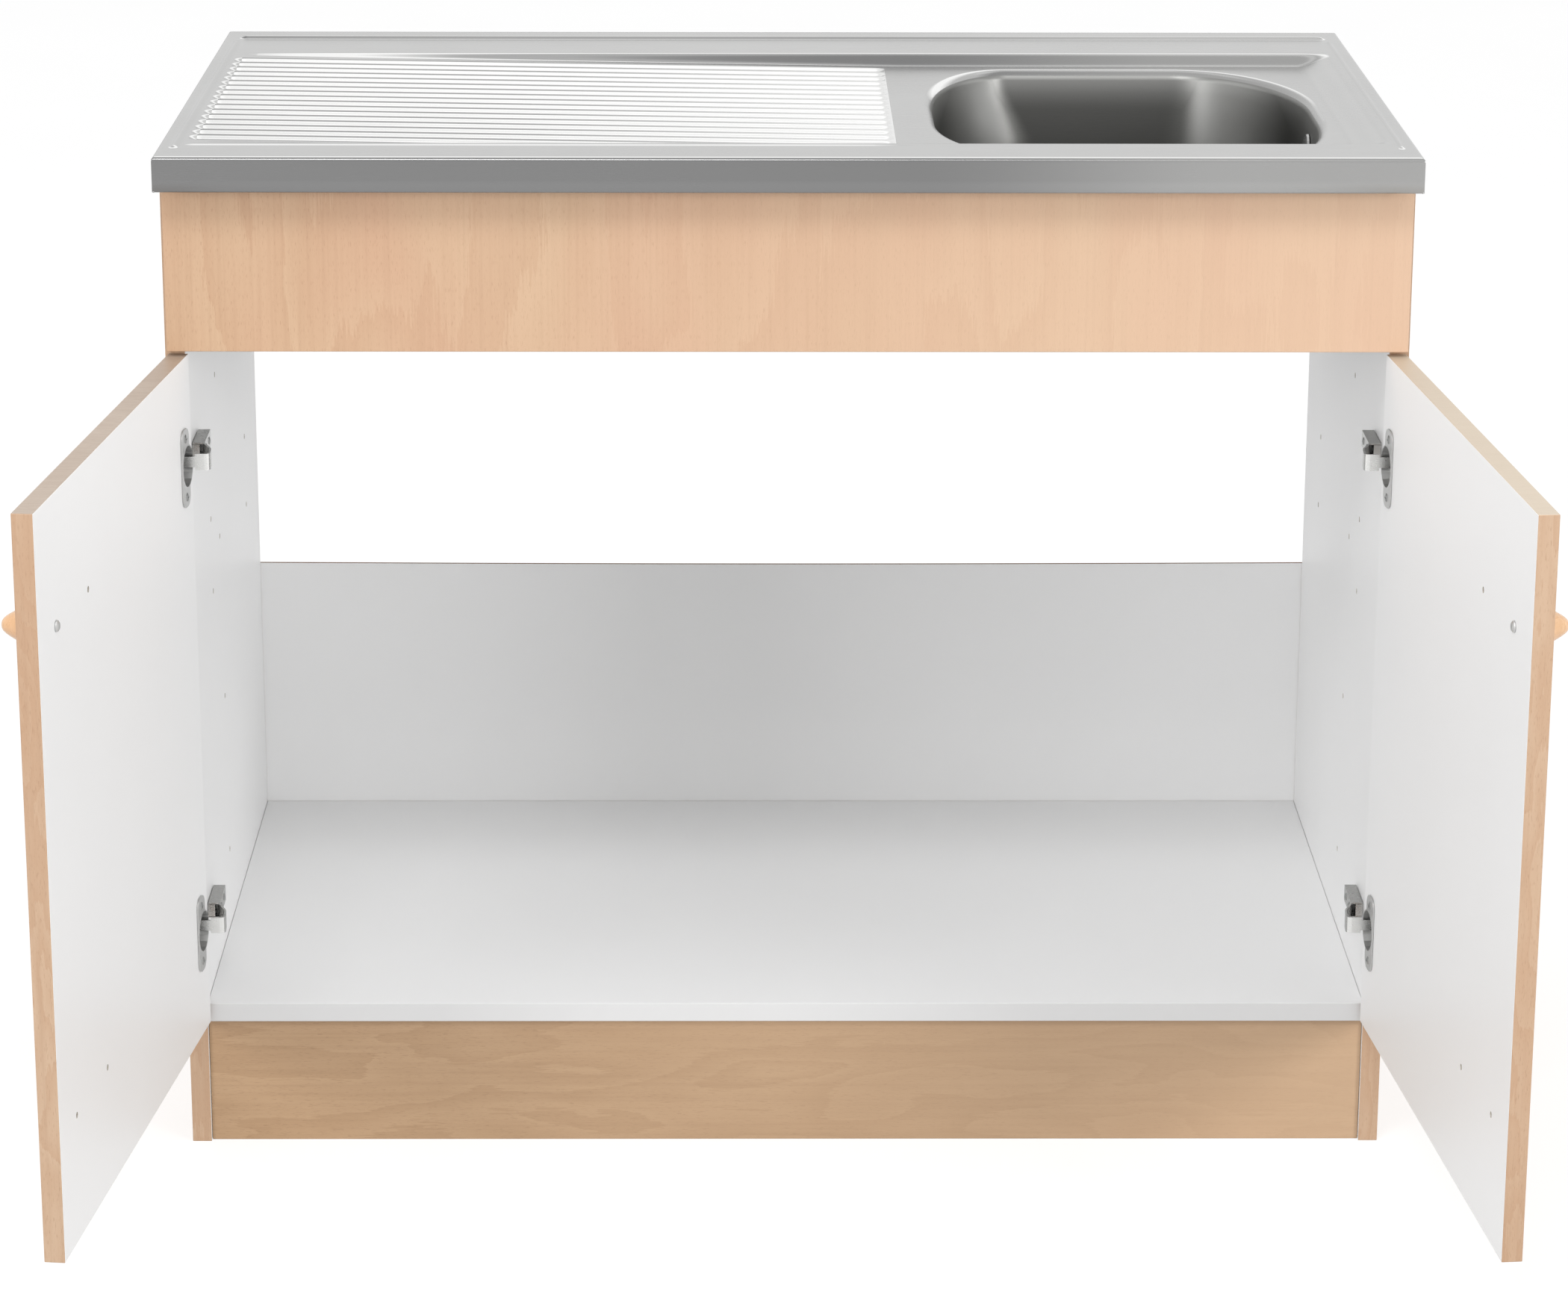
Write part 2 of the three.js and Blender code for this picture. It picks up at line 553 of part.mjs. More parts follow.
// Height of the beads along the rear edge and along both sides.
function beadHeight(x, y) {
  const bump = (distance, width) =>
    (1 + Math.cos(Math.PI * Math.min(Math.abs(2 * distance / width), 1))) / 2;
  const rearY = SINK_DEPTH - BEAD_FROM_REAR;
  const rearEnd = rise((HALF_WIDTH - BEAD_SIDE_INSET - Math.abs(x)) / (BEAD_WIDTH / 2));
  const rear = BEAD_HEIGHT * bump(y - rearY, BEAD_WIDTH) * rearEnd;
  const sideEnds = Math.min(rise((y - SIDE_BEAD_FRONT) / SIDE_BEAD_END_RUN),
    rise((rearY - BEAD_WIDTH - y) / SIDE_BEAD_END_RUN));
  const sideX = HALF_WIDTH - SIDE_BEAD_INSET;
  const side = SIDE_BEAD_HEIGHT * bump(Math.abs(x) - sideX, SIDE_BEAD_WIDTH) * sideEnds;
  return rear + side;
}

// The rounded outer edge.
function edgeDrop(x, y) {
  const fromEdge = Math.min(HALF_WIDTH - Math.abs(x), y, SINK_DEPTH - y);
  const t = Math.min(Math.max(fromEdge / RIM_EDGE_RADIUS, 0), 1);
  return RIM_EDGE_RADIUS * (1 - Math.sqrt(1 - (1 - t) ** 2));
}

const deckZ = (x, y) => WORKING_HEIGHT - fieldDepth(x, y) + beadHeight(x, y) - edgeDrop(x, y);

function spread(from, to, steps) {
  return Array.from({ length: steps + 1 }, (_, i) => from + (to - from) * i / steps);
}

// The grid lines of the pressed sheet, close together only where it bends.
function deckLines() {
  const edge = [0, 0.12, 0.45, 1].map((t) => t * RIM_EDGE_RADIUS);
  const bead = [-1, -0.5, 0, 0.5, 1];
  const sideBeadX = HALF_WIDTH - SIDE_BEAD_INSET;
  const rearY = SINK_DEPTH - BEAD_FROM_REAR;
  const xs = [
    ...edge.map((d) => d - HALF_WIDTH),
    ...bead.map((t) => -sideBeadX + t * SIDE_BEAD_WIDTH / 2),
    FIELD_LEFT, FIELD_DEEP_FROM,
    ...spread(FIELD_RIGHT - FIELD_RIGHT_RUN, FIELD_RIGHT, 4),
    ...bead.map((t) => sideBeadX + t * SIDE_BEAD_WIDTH / 2),
    ...edge.map((d) => HALF_WIDTH - d),
  ];
  const ys = [
    ...edge,
    SIDE_BEAD_FRONT, SIDE_BEAD_FRONT + SIDE_BEAD_END_RUN,
    FIELD_FRONT_TOP, FIELD_FRONT_FOOT,
    FIELD_REAR - FIELD_REAR_RUN, FIELD_REAR,
    rearY - BEAD_WIDTH - SIDE_BEAD_END_RUN, rearY - BEAD_WIDTH,
    ...bead.map((t) => rearY + t * BEAD_WIDTH / 2),
    ...edge.map((d) => SINK_DEPTH - d),
  ];
  const tidy = (values) => values.sort((a, b) => a - b)
    .filter((value, i) => i === 0 || value - values[i - 1] > 0.2);
  return { xs: tidy(xs), ys: tidy(ys) };
}

// A closed block between the surface height(x, y) over a grid of lines and a flat far face.
function reliefBlock(xs, ys, height, flatZ) {
  const positions = [];
  const index = [];
  const add = (x, y, z) => positions.push(x, SINK_FRONT_Y + y, z) / 3 - 1;
  const upright = flatZ < height(xs[0], ys[0]);
  const near = ys.map((y) => xs.map((x) => add(x, y, height(x, y))));
  const far = ys.map((y) => xs.map((x) => add(x, y, flatZ)));
  const middle = add((xs[0] + xs.at(-1)) / 2, (ys[0] + ys.at(-1)) / 2, flatZ);
  const triangle = (a, b, c) => index.push(...(upright ? [a, b, c] : [a, c, b]));
  const quad = (a, b, c, d) => {
    triangle(a, b, c);
    triangle(a, c, d);
  };
  const wall = (j, i, nextJ, nextI) => {
    quad(near[nextJ][nextI], near[j][i], far[j][i], far[nextJ][nextI]);
    triangle(middle, far[nextJ][nextI], far[j][i]);
  };
  const lastX = xs.length - 1;
  const lastY = ys.length - 1;
  for (let j = 0; j < lastY; j += 1) {
    for (let i = 0; i < lastX; i += 1) {
      quad(near[j][i], near[j][i + 1], near[j + 1][i + 1], near[j + 1][i]);
    }
    wall(j, lastX, j + 1, lastX);
    wall(j + 1, 0, j, 0);
  }
  for (let i = 0; i < lastX; i += 1) {
    wall(0, i, 0, i + 1);
    wall(lastY, i + 1, lastY, i);
  }
  const geometry = new THREE.BufferGeometry();
  geometry.setAttribute('position', new THREE.Float32BufferAttribute(positions, 3));
  geometry.setIndex(index);
  return geometry;
}

// One drainer groove as a cutter: it stands on the groove's surface, `lower` under the deck.
function grooveCutter(number, lower) {
  const start = GROOVES_FRONT + number * GROOVE_PITCH;
  const steps = lower ? [0.04, 0.36, 0.64, 0.96] : [0.04, 0.22, 0.36, 0.64, 0.78, 0.96];
  const endSteps = lower ? 1 : 2;
  const dip = (y) => rise(Math.min(y - start, start + GROOVE_PITCH - y) / (GROOVE_PITCH * 0.36));
  const ends = (x) =>
    Math.min(rise((x - GROOVES_LEFT) / GROOVE_END_RUN), rise((GROOVES_RIGHT - x) / GROOVE_END_RUN));
  const xs = [
    ...spread(GROOVES_LEFT, GROOVES_LEFT + GROOVE_END_RUN, endSteps),
    ...spread(GROOVES_RIGHT - GROOVE_END_RUN, GROOVES_RIGHT, endSteps),
  ];
  const ys = steps.map((t) => start + t * GROOVE_PITCH);
  const surface = (x, y) =>
    deckZ(x, y) + GROOVE_LIFT - (GROOVE_DEPTH + GROOVE_LIFT) * ends(x) * dip(y) - lower;
  return reliefBlock(xs, ys, surface, WORKING_HEIGHT + BEAD_HEIGHT);
}

// ---------------------------------------------------------------- bowl

const BOWL_CENTRE_Y = (BOWL_FRONT + BOWL_REAR) / 2;
const BOWL_LENGTH = BOWL_REAR - BOWL_FRONT;
const CORNER_STEPS = 7;

// Points round the bowl's outline, drawn in by `inset` from its rim.
function bowlRing(inset) {
  const scaleX = 1 - 2 * inset / BOWL_WIDTH;
  const scaleY = 1 - 2 * inset / BOWL_LENGTH;
  const corners = [
    [1, 1, 0, BOWL_REAR_CORNER.right],
    [-1, 1, 90, BOWL_REAR_CORNER.left],
    [-1, -1, 180, BOWL_FRONT_CORNER.left],
    [1, -1, 270, BOWL_FRONT_CORNER.right],
  ];
  return corners.flatMap(([sx, sy, start, [acrossX, alongY]]) =>
    spread(start, start + 90, CORNER_STEPS).map((degrees) => {
      const angle = THREE.MathUtils.degToRad(degrees);
      const x = sx * (BOWL_WIDTH / 2 - acrossX) + acrossX * Math.cos(angle);
      const y = sy * (BOWL_LENGTH / 2 - alongY) + alongY * Math.sin(angle);
      return new THREE.Vector2(BOWL_CENTRE_X + scaleX * x, BOWL_CENTRE_Y + scaleY * y);
    }));
}

const BOWL_RIM_Z = WORKING_HEIGHT - FIELD_DEPTH;
const BOWL_FLOOR_Z = BOWL_RIM_Z - BOWL_DEPTH;

// The bowl's section from its lip to the floor: how far in from the rim and how far down.
function bowlSection() {
  const lip = spread(0, 84, 4).map((degrees) => {
    const angle = THREE.MathUtils.degToRad(degrees);
    return [BOWL_LIP_RADIUS * Math.sin(angle), BOWL_LIP_RADIUS * (1 - Math.cos(angle))];
  });
  const foot = BOWL_LIP_RADIUS + BOWL_DRAFT;
  const turn = spread(0, 84, 5).map((degrees) => {
    const angle = THREE.MathUtils.degToRad(degrees);
    return [foot + BOWL_FLOOR_RADIUS * (1 - Math.cos(angle)),
      BOWL_DEPTH - BOWL_FLOOR_FALL - BOWL_FLOOR_RADIUS * (1 - Math.sin(angle))];
  });
  return [...lip, ...turn];
}

// A ring of points round the waste, in step with the points of a bowl ring.
function wasteRing(radius) {
  const count = 4 * (CORNER_STEPS + 1);
  return Array.from({ length: count }, (_, i) => {
    const corner = Math.floor(i / (CORNER_STEPS + 1));
    const step = (i % (CORNER_STEPS + 1)) / CORNER_STEPS;
    const angle = THREE.MathUtils.degToRad(90 * corner + 6 + 78 * step);
    return new THREE.Vector2(BOWL_CENTRE_X + radius * Math.cos(angle),
      BOWL_CENTRE_Y + radius * Math.sin(angle));
  });
}

// Closed solid between an inner and an outer stack of rings, open at the waste hole.
function shellFromRings(inner, outer) {
  const loop = [...inner, ...outer.slice().reverse()];
  const count = loop[0].length;
  const positions = loop.flat().flatMap((p) => [p.x, p.y, p.z]);
  const index = [];
  for (let k = 0; k < loop.length; k += 1) {
    const next = (k + 1) % loop.length;
    for (let i = 0; i < count; i += 1) {
      const j = (i + 1) % count;
      const [a, b, c, d] = [k * count + i, k * count + j, next * count + j, next * count + i];
      index.push(a, b, c, a, c, d);
    }
  }
  const geometry = new THREE.BufferGeometry();
  geometry.setAttribute('position', new THREE.Float32BufferAttribute(positions, 3));
  geometry.setIndex(index);
  return geometry;
}

// The stack of rings for one face of the bowl, `thickness` below and outside its inner face.
function bowlRings(thickness) {
  const lift = (ring, z) => ring.map((p) => new THREE.Vector3(p.x, SINK_FRONT_Y + p.y, z));
  const walls = bowlSection().map(([inset, drop]) => {
    const tilt = Math.min(inset / BOWL_LIP_RADIUS, 1);
    return lift(bowlRing(Math.max(inset - thickness * tilt, 0) + BOWL_SEAM),
      BOWL_RIM_Z - drop - thickness * (1 - tilt));
  });
  const floorTurn = walls.length - 5;
  walls.slice(floorTurn).forEach((ring, k) => ring.forEach((p) => {
    p.z -= thickness * Math.sin(THREE.MathUtils.degToRad(84 * (k + 1) / 5));
  }));
  const kept = thickness ? walls.filter((ring, k) => k % 2 === 0 || k > floorTurn) : walls;
  return [
    ...kept,
    lift(wasteRing(WASTE_SEAT_RADIUS), BOWL_FLOOR_Z + WASTE_SEAT_RISE - thickness),
    lift(wasteRing(WASTE_HOLE_RADIUS), BOWL_FLOOR_Z - thickness),
  ];
}

// The right wall's lean, and how far in it is at the overflow.
const WALL_RUN = BOWL_DEPTH - BOWL_FLOOR_FALL - BOWL_FLOOR_RADIUS - BOWL_LIP_RADIUS;
const WALL_LEAN = Math.atan2(BOWL_DRAFT, WALL_RUN);
const OVERFLOW_Z = BOWL_RIM_Z - OVERFLOW_BELOW_RIM;
const OVERFLOW_X = BOWL_CENTRE_X + BOWL_WIDTH / 2 - BOWL_SEAM - BOWL_LIP_RADIUS
  - BOWL_DRAFT * (OVERFLOW_BELOW_RIM - BOWL_LIP_RADIUS) / WALL_RUN;
const OVERFLOW_Y = SINK_FRONT_Y + BOWL_CENTRE_Y - OVERFLOW_FORWARD;

// Leans a piece that is drawn round the x axis square to the bowl's right wall.
function atOverflow(geometry) {
  return geometry.rotateY(WALL_LEAN).translate(OVERFLOW_X, OVERFLOW_Y, OVERFLOW_Z);
}

const overflowHole = () =>
  atOverflow(rod('x', OVERFLOW_HOLE_RADIUS, -OVERFLOW_HOLE_RADIUS, OVERFLOW_HOLE_RADIUS, [0, 0], 20));

const sinkBowl = () => carve([shellFromRings(bowlRings(0), bowlRings(SHEET))], [overflowHole()]);

function sinkDeck() {
  const { xs, ys } = deckLines();
  const outer = reliefBlock(xs, ys, deckZ, RIM_BOTTOM_Z);
  const drawnIn = (values, from, to) => {
    const clamped = values.map((value) => THREE.MathUtils.clamp(value, from, to));
    return clamped.filter((value, i) => i === 0 || value > clamped[i - 1]);
  };
  const innerXs = drawnIn(xs, SHEET - HALF_WIDTH, HALF_WIDTH - SHEET);
  const innerYs = drawnIn(ys, SHEET, SINK_DEPTH - SHEET);
  const hollow = reliefBlock(innerXs, innerYs, (x, y) => deckZ(x, y) - SHEET, RIM_BOTTOM_Z + SHEET);
  const numbers = Array.from({ length: GROOVE_COUNT }, (_, i) => i);
  const ribbedHollow = carve([hollow], numbers.map((number) => grooveCutter(number, SHEET)));
  const reach = RIM_FLANGE + SHEET;
  const mouth = box(-HALF_WIDTH + reach, HALF_WIDTH - reach,
    SINK_FRONT_Y + reach, SINK_FRONT_Y + SINK_DEPTH - reach, RIM_BOTTOM_Z - 1, RIM_BOTTOM_Z + 2 * SHEET);
  const outline = new THREE.Shape(bowlRing(0).map((p) => new THREE.Vector2(p.x, SINK_FRONT_Y + p.y)));
  const bowlHole = new THREE.ExtrudeGeometry(outline, { depth: RIM_HEIGHT * 2, bevelEnabled: false });
  bowlHole.translate(0, 0, RIM_BOTTOM_Z);
  return carve([outer], [...numbers.map((number) => grooveCutter(number, 0)), ribbedHollow, mouth, bowlHole]);
}

// ---------------------------------------------------------------- waste and overflow

const rubber = material(0x2b2b2b, 0.8, 0);
const whitePlastic = material(0xe8e8e4, 0.5, 0);
const WASTE_Y = SINK_FRONT_Y + BOWL_CENTRE_Y;

const turnedAtWaste = (profile) => {
  const geometry = new THREE.LatheGeometry(profile.map(([r, z]) => new THREE.Vector2(r, z)), WASTE_SIDES);
  return geometry.rotateX(Math.PI / 2).translate(BOWL_CENTRE_X, WASTE_Y, 0);
};

// The strainer that shows in the bowl: a dished disc with a ring of holes.
function wasteStrainer() {
  const z0 = BOWL_FLOOR_Z + SEAT_GAP + WASTE_SEAT_RISE;
  const z1 = z0 + WASTE_FLANGE_THICKNESS;
  const sump = WASTE_HOLE_RADIUS - 2;
  const disc = turnedAtWaste([
    [0, z0 - 4], [sump - 3, z0 - 4], [sump, z0 - 1], [sump + 1.5, z0], [WASTE_FLANGE_RADIUS, z0],
    [WASTE_FLANGE_RADIUS - 1, z1 - 0.4], [WASTE_FLANGE_RADIUS - 4, z1], [sump + 1, z1],
    [sump - 3, z1 - 4], [0, z1 - 4],
  ]);
  const holes = Array.from({ length: 8 }, (_, i) => {
    const angle = i * Math.PI / 4;
    const reach = sump - 9;
    return rod('z', STRAINER_HOLE_RADIUS, z0 - 6, z1, [BOWL_CENTRE_X + reach * Math.cos(angle),
      WASTE_Y + reach * Math.sin(angle)], 6);
  });
  return carve([disc], holes);
}

const WASTE_TOP_Z = BOWL_FLOOR_Z - SHEET - SEAT_GAP;

const wasteGasket = () => turnedAtWaste([
  [WASTE_HOLE_RADIUS + 1, WASTE_TOP_Z - WASTE_GASKET_HEIGHT],
  [WASTE_BODY_RADIUS, WASTE_TOP_Z - WASTE_GASKET_HEIGHT],
  [WASTE_BODY_RADIUS, WASTE_TOP_Z],
  [WASTE_HOLE_RADIUS + 1, WASTE_TOP_Z],
  [WASTE_HOLE_RADIUS + 1, WASTE_TOP_Z - WASTE_GASKET_HEIGHT],
]);

// The body under the bowl: a funnel that ends in a threaded tail for the trap.
function wasteBody() {
  const top = WASTE_TOP_Z - WASTE_GASKET_HEIGHT - SEAT_GAP;
  const shoulder = top - WASTE_BODY_HEIGHT;
  const end = shoulder - WASTE_TAIL_LENGTH;
  return turnedAtWaste([
    [WASTE_HOLE_RADIUS + 1, top], [WASTE_TAIL_RADIUS - WASTE_WALL, shoulder],
    [WASTE_TAIL_RADIUS - WASTE_WALL, end], [WASTE_TAIL_RADIUS, end],
    [WASTE_TAIL_RADIUS, shoulder - 2], [WASTE_TAIL_RADIUS + 6, shoulder - 1],
    [WASTE_BODY_RADIUS, top - 6], [WASTE_BODY_RADIUS, top], [WASTE_HOLE_RADIUS + 1, top],
  ]);
}

// The round cover on the bowl's right wall, with a ring of slots and a spigot through the wall.
function overflowRosette() {
  const spigot = OVERFLOW_HOLE_RADIUS - SEAT_GAP;
  const face = SEAT_GAP * 2;
  const front = face + OVERFLOW_ROSETTE_THICKNESS;
  const profile = [
    [spigot - OVERFLOW_WALL, front * 0.6], [spigot - OVERFLOW_WALL, -OVERFLOW_WALL * 2],
    [spigot, -OVERFLOW_WALL * 2], [spigot, face], [OVERFLOW_ROSETTE_RADIUS, face],
    [OVERFLOW_ROSETTE_RADIUS * 0.96, front * 0.8], [OVERFLOW_ROSETTE_RADIUS * 0.7, front],
    [0, front], [0, front * 0.6], [spigot - OVERFLOW_WALL, front * 0.6],
  ];
  const disc = new THREE.LatheGeometry(profile.map(([r, h]) => new THREE.Vector2(r, h)), 20);
  disc.rotateZ(Math.PI / 2);
  const slots = Array.from({ length: 6 }, (_, i) => {
    const angle = i * Math.PI / 3;
    return rod('x', OVERFLOW_WALL, -2 * front, 0, [5 * Math.cos(angle), 5 * Math.sin(angle)], 6);
  });
  return atOverflow(carve([disc], slots));
}

// The socket behind the wall, with a tail for the overflow hose.
function overflowSocket() {
  const back = SHEET + SEAT_GAP * 2;
  const end = back + OVERFLOW_SOCKET_LENGTH;
  const radius = OVERFLOW_HOLE_RADIUS + OVERFLOW_WALL * 2;
  const bore = radius - OVERFLOW_WALL;
  const shell = rod('x', radius, back, end, [0, 0], 20);
  const tail = rod('z', OVERFLOW_TAIL_RADIUS, -radius - OVERFLOW_TAIL_LENGTH, 0, [(back + end) / 2, 0], 16);
  const hollow = rod('x', bore, back - 1, end - OVERFLOW_WALL, [0, 0], 20);
  const tailBore = rod('z', OVERFLOW_TAIL_RADIUS - OVERFLOW_WALL, -radius - OVERFLOW_TAIL_LENGTH - 1, 0,
    [(back + end) / 2, 0], 16);
  return atOverflow(carve([shell, tail], [hollow, tailBore]));
}

// ---------------------------------------------------------------- assembly

cabinet();
doorsAndHinges();
place('sink_deck', sinkDeck(), steel);
place('sink_bowl', sinkBowl(), bowlSteel);
place('waste_strainer', wasteStrainer(), steel);
place('waste_gasket', wasteGasket(), rubber);
place('waste_body', wasteBody(), whitePlastic);
place('overflow_rosette', overflowRosette(), steel);
place('overflow_socket', overflowSocket(), whitePlastic);

export default unit;
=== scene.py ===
# %% [markdown]
# # A kitchen sink unit with its doors open
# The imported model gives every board, hinge and pressing its place. This lesson dresses it: boards
# get real faces and edge bands, the steel top gets its fine pressed shapes, and each surface gets
# a material that starts from what the real one is made of.

# %% Load the frame
from math import atan2, cos, pi, radians, sin, sqrt

import bmesh
import bpy
from mathutils import Matrix, Vector


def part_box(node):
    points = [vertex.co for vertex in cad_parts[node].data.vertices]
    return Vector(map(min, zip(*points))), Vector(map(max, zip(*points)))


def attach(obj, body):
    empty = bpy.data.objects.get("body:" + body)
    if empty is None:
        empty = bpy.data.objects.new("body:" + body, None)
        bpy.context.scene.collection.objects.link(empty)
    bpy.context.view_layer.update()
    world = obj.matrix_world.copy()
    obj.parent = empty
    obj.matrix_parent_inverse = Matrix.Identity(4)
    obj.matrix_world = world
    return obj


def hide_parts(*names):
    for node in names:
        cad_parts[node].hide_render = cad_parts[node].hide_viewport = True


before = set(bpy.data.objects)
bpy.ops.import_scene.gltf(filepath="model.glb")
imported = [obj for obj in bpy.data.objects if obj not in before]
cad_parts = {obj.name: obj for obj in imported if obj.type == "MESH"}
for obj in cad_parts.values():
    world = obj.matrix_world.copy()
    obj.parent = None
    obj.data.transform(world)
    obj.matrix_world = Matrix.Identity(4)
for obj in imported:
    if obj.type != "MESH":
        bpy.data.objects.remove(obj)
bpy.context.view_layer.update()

# %% [markdown]
# ## The camera
# A long lens from a standing person's height, almost straight on. The place and the angles come
# from points of the photograph whose real positions are known, such as the sink's corners.
# Blender's camera looks along its own -Z, so a quarter turn about X makes it look level first. The
# angles are in radians.

# %% Camera
MM = 0.001
camera_data = bpy.data.cameras.new("photo_camera")
camera_data.sensor_width = 36
camera_data.lens = 110.5
CAMERA_SPOT = Vector((-36.4, -3785.3, 1568.6)) * MM
PAN, PITCH, ROLL = -0.0090, -0.2939, -0.0028
camera = bpy.data.objects.new("photo_camera", camera_data)
bpy.context.collection.objects.link(camera)
bpy.context.scene.camera = camera
camera.matrix_world = (
    Matrix.Translation(CAMERA_SPOT)
    @ Matrix.Rotation(PAN, 4, "Z")
    @ Matrix.Rotation(PITCH, 4, "X")
    @ Matrix.Rotation(ROLL, 4, "Y")
    @ Matrix.Rotation(radians(90), 4, "X")
)
print("lens", camera_data.lens, "mm at", [round(v, 3) for v in camera.location])

# %% [markdown]
# ## Colours and nodes
# Colours are written as the hex values that a paint shop or a web page would use. Shaders want
# linear light, so one function converts them. One more adds a node with its settings and links,
# and short ones on top of it make the kinds of node that every material below uses.

# %% Helpers for materials
def paint(hex_colour):
    channels = [int(hex_colour[i:i + 2], 16) / 255 for i in (1, 3, 5)]
    linear = [c / 12.92 if c <= 0.04045 else ((c + 0.055) / 1.055) ** 2.4 for c in channels]
    return (*linear, 1)


def fill(tree, node, inputs):
    """Links an input where it is given as another node's output, and sets it otherwise."""
    for name, value in inputs.items():
        if isinstance(value, bpy.types.NodeSocket):
            tree.links.new(value, node.inputs[name])
        else:
            node.inputs[name].default_value = value


def add(tree, kind, inputs=None, **settings):
    made = tree.nodes.new(kind)
    for name, value in settings.items():
        setattr(made, name, value)
    fill(tree, made, inputs or {})
    return made


def noise(tree, vector, scale, detail, **more):
    inputs = {"Vector": vector, "Scale": scale, "Detail": detail, **more}
    return add(tree, "ShaderNodeTexNoise", inputs).outputs["Fac"]


def maths(tree, operation, *values):
    return add(tree, "ShaderNodeMath", dict(enumerate(values)), operation=operation).outputs[0]


def ranged(tree, value, start, stop, low=0.0, high=1.0, kind="LINEAR"):
    """Carries a value from start..stop over to low..high, and holds it at both ends."""
    inputs = {"Value": value, "From Min": start, "From Max": stop, "To Min": low, "To Max": high}
    return add(tree, "ShaderNodeMapRange", inputs, interpolation_type=kind).outputs["Result"]


def blend(tree, share, first, second):
    """Mixes two colours, each given as a hex value or as a node's output."""
    first, second = (paint(c) if isinstance(c, str) else c for c in (first, second))
    inputs = {"Factor": share, "A": first, "B": second}
    return add(tree, "ShaderNodeMix", inputs, data_type="RGBA").outputs["Result"]


def bumped(tree, height, strength, distance):
    inputs = {"Height": height, "Strength": strength, "Distance": distance}
    return add(tree, "ShaderNodeBump", inputs).outputs["Normal"]


def parts_of(tree, vector):
    return add(tree, "ShaderNodeSeparateXYZ", {"Vector": vector}).outputs


def surface_normal(tree):
    return parts_of(tree, add(tree, "ShaderNodeNewGeometry").outputs["Normal"])


def stretched(tree, place, axis, width_mm, ratio):
    """The place counted in widths, and in longer steps along one axis."""
    scale = [1 / (width_mm * MM)] * 3
    scale["XYZ".index(axis)] /= ratio
    return add(tree, "ShaderNodeMapping", {"Vector": place, "Scale": scale}).outputs["Vector"]


def new_material(name):
    material = bpy.data.materials.new(name)
    material.use_nodes = True
    tree = material.node_tree
    shader = tree.nodes["Principled BSDF"]
    place = add(tree, "ShaderNodeTexCoord").outputs["Object"]
    return material, tree, shader, place


def seen_rays(tree):
    """1 for rays from the camera and for rays that metal or glass send on, 0 for plain light."""
    rays = add(tree, "ShaderNodeLightPath").outputs
    either = maths(tree, "MAXIMUM", rays["Is Camera Ray"], rays["Is Glossy Ray"])
    return maths(tree, "MAXIMUM", either, rays["Is Transmission Ray"])


print("mid grey in linear light:", round(paint("#808080")[0], 3))

# %% [markdown]
# ## Beech foil on chipboard
# The doors, fascia and plinth are chipboard faced with a printed melamine foil. Beech is pale and
# pinkish, with soft flame figures and short dark pores that run with the grain. The flames are
# the contour lines of a slow noise that is stretched along the grain: each ring darkens slowly
# and ends at once, and a finer noise feathers that edge. The pores are a fast noise stretched the
# same way. A real pore is about 0.15 mm wide; it is drawn at 0.6 mm so that it shows from this far.
# Wide patches are darker or a little pinker. Three of the foils take painted light and shade:
# they grow paler towards the right, where the key lamp stands.
# A picture of a board would be quicker, but it repeats, and it blurs from near by.

# %% Beech foil
# Each layer: its width in mm, how many times longer it is along the grain, and its detail.
BLOTCH, STREAK, FEATHER, PORE = (160, 2.5, 3.0), (3.2, 60, 3.0), (1.6, 24, 2.0), (0.6, 9, 1.0)
FLAME_RATIO, FLAME_RINGS, FEATHERED = 4.5, 7.0, 0.55
FLAME_DETAIL, FLAME_ROUGHNESS, FLAME_DISTORTION = 2.0, 0.4, 0.3
# The value where each layer starts and where it is full, and its share at either.
FLAME_SHARE, PATCH_SHARE = (0.1, 1.0, 0.0, 0.48), (0.42, 0.68, 0.0, 0.55)
STREAK_SHARE, PORE_SHARE = (0.45, 0.78, 0.0, 0.16), (0.6, 0.72, 0.0, 0.3)
# The painted light: x in metres where it starts and where it is full, and its share at either.
PAINTED_LIGHT_SHARE = (-0.45, 0.5, 0.0, 0.6)
# A bump is given by its strength and its depth in metres.
BOARD_IOR, PORE_BUMP = 1.5, (0.12, 0.2 * MM)


def beech_foil(name, grain_axis, pale, middle, dark, flame_mm=90, roughness=0.42,
               blush=None, painted_light_right=None):
    material, tree, shader, place = new_material(name)

    def layer(width_mm, ratio, detail, **more):
        return noise(tree, stretched(tree, place, grain_axis, width_mm, ratio), 1.0, detail, **more)

    slow = layer(flame_mm, FLAME_RATIO, FLAME_DETAIL, Roughness=FLAME_ROUGHNESS,
                 Distortion=FLAME_DISTORTION)
    jagged = maths(tree, "MULTIPLY_ADD", layer(*FEATHER), FEATHERED,
                   maths(tree, "MULTIPLY", slow, FLAME_RINGS))
    flame = ranged(tree, maths(tree, "FRACT", jagged), *FLAME_SHARE)
    pores = layer(*PORE)
    colour = blend(tree, flame, pale, middle)
    colour = blend(tree, ranged(tree, layer(*BLOTCH), *PATCH_SHARE), colour, blush or middle)
    colour = blend(tree, ranged(tree, layer(*STREAK), *STREAK_SHARE), colour, dark)
    colour = blend(tree, ranged(tree, pores, *PORE_SHARE), colour, dark)
    # Painted light and shade: the foil grows paler towards the right, where the key lamp stands.
    if painted_light_right:
        colour = blend(tree, ranged(tree, parts_of(tree, place)["X"], *PAINTED_LIGHT_SHARE), colour, painted_light_right)
    fill(tree, shader, {"Base Color": colour, "Roughness": roughness, "IOR": BOARD_IOR,
                        "Normal": bumped(tree, pores, *PORE_BUMP)})
    return material


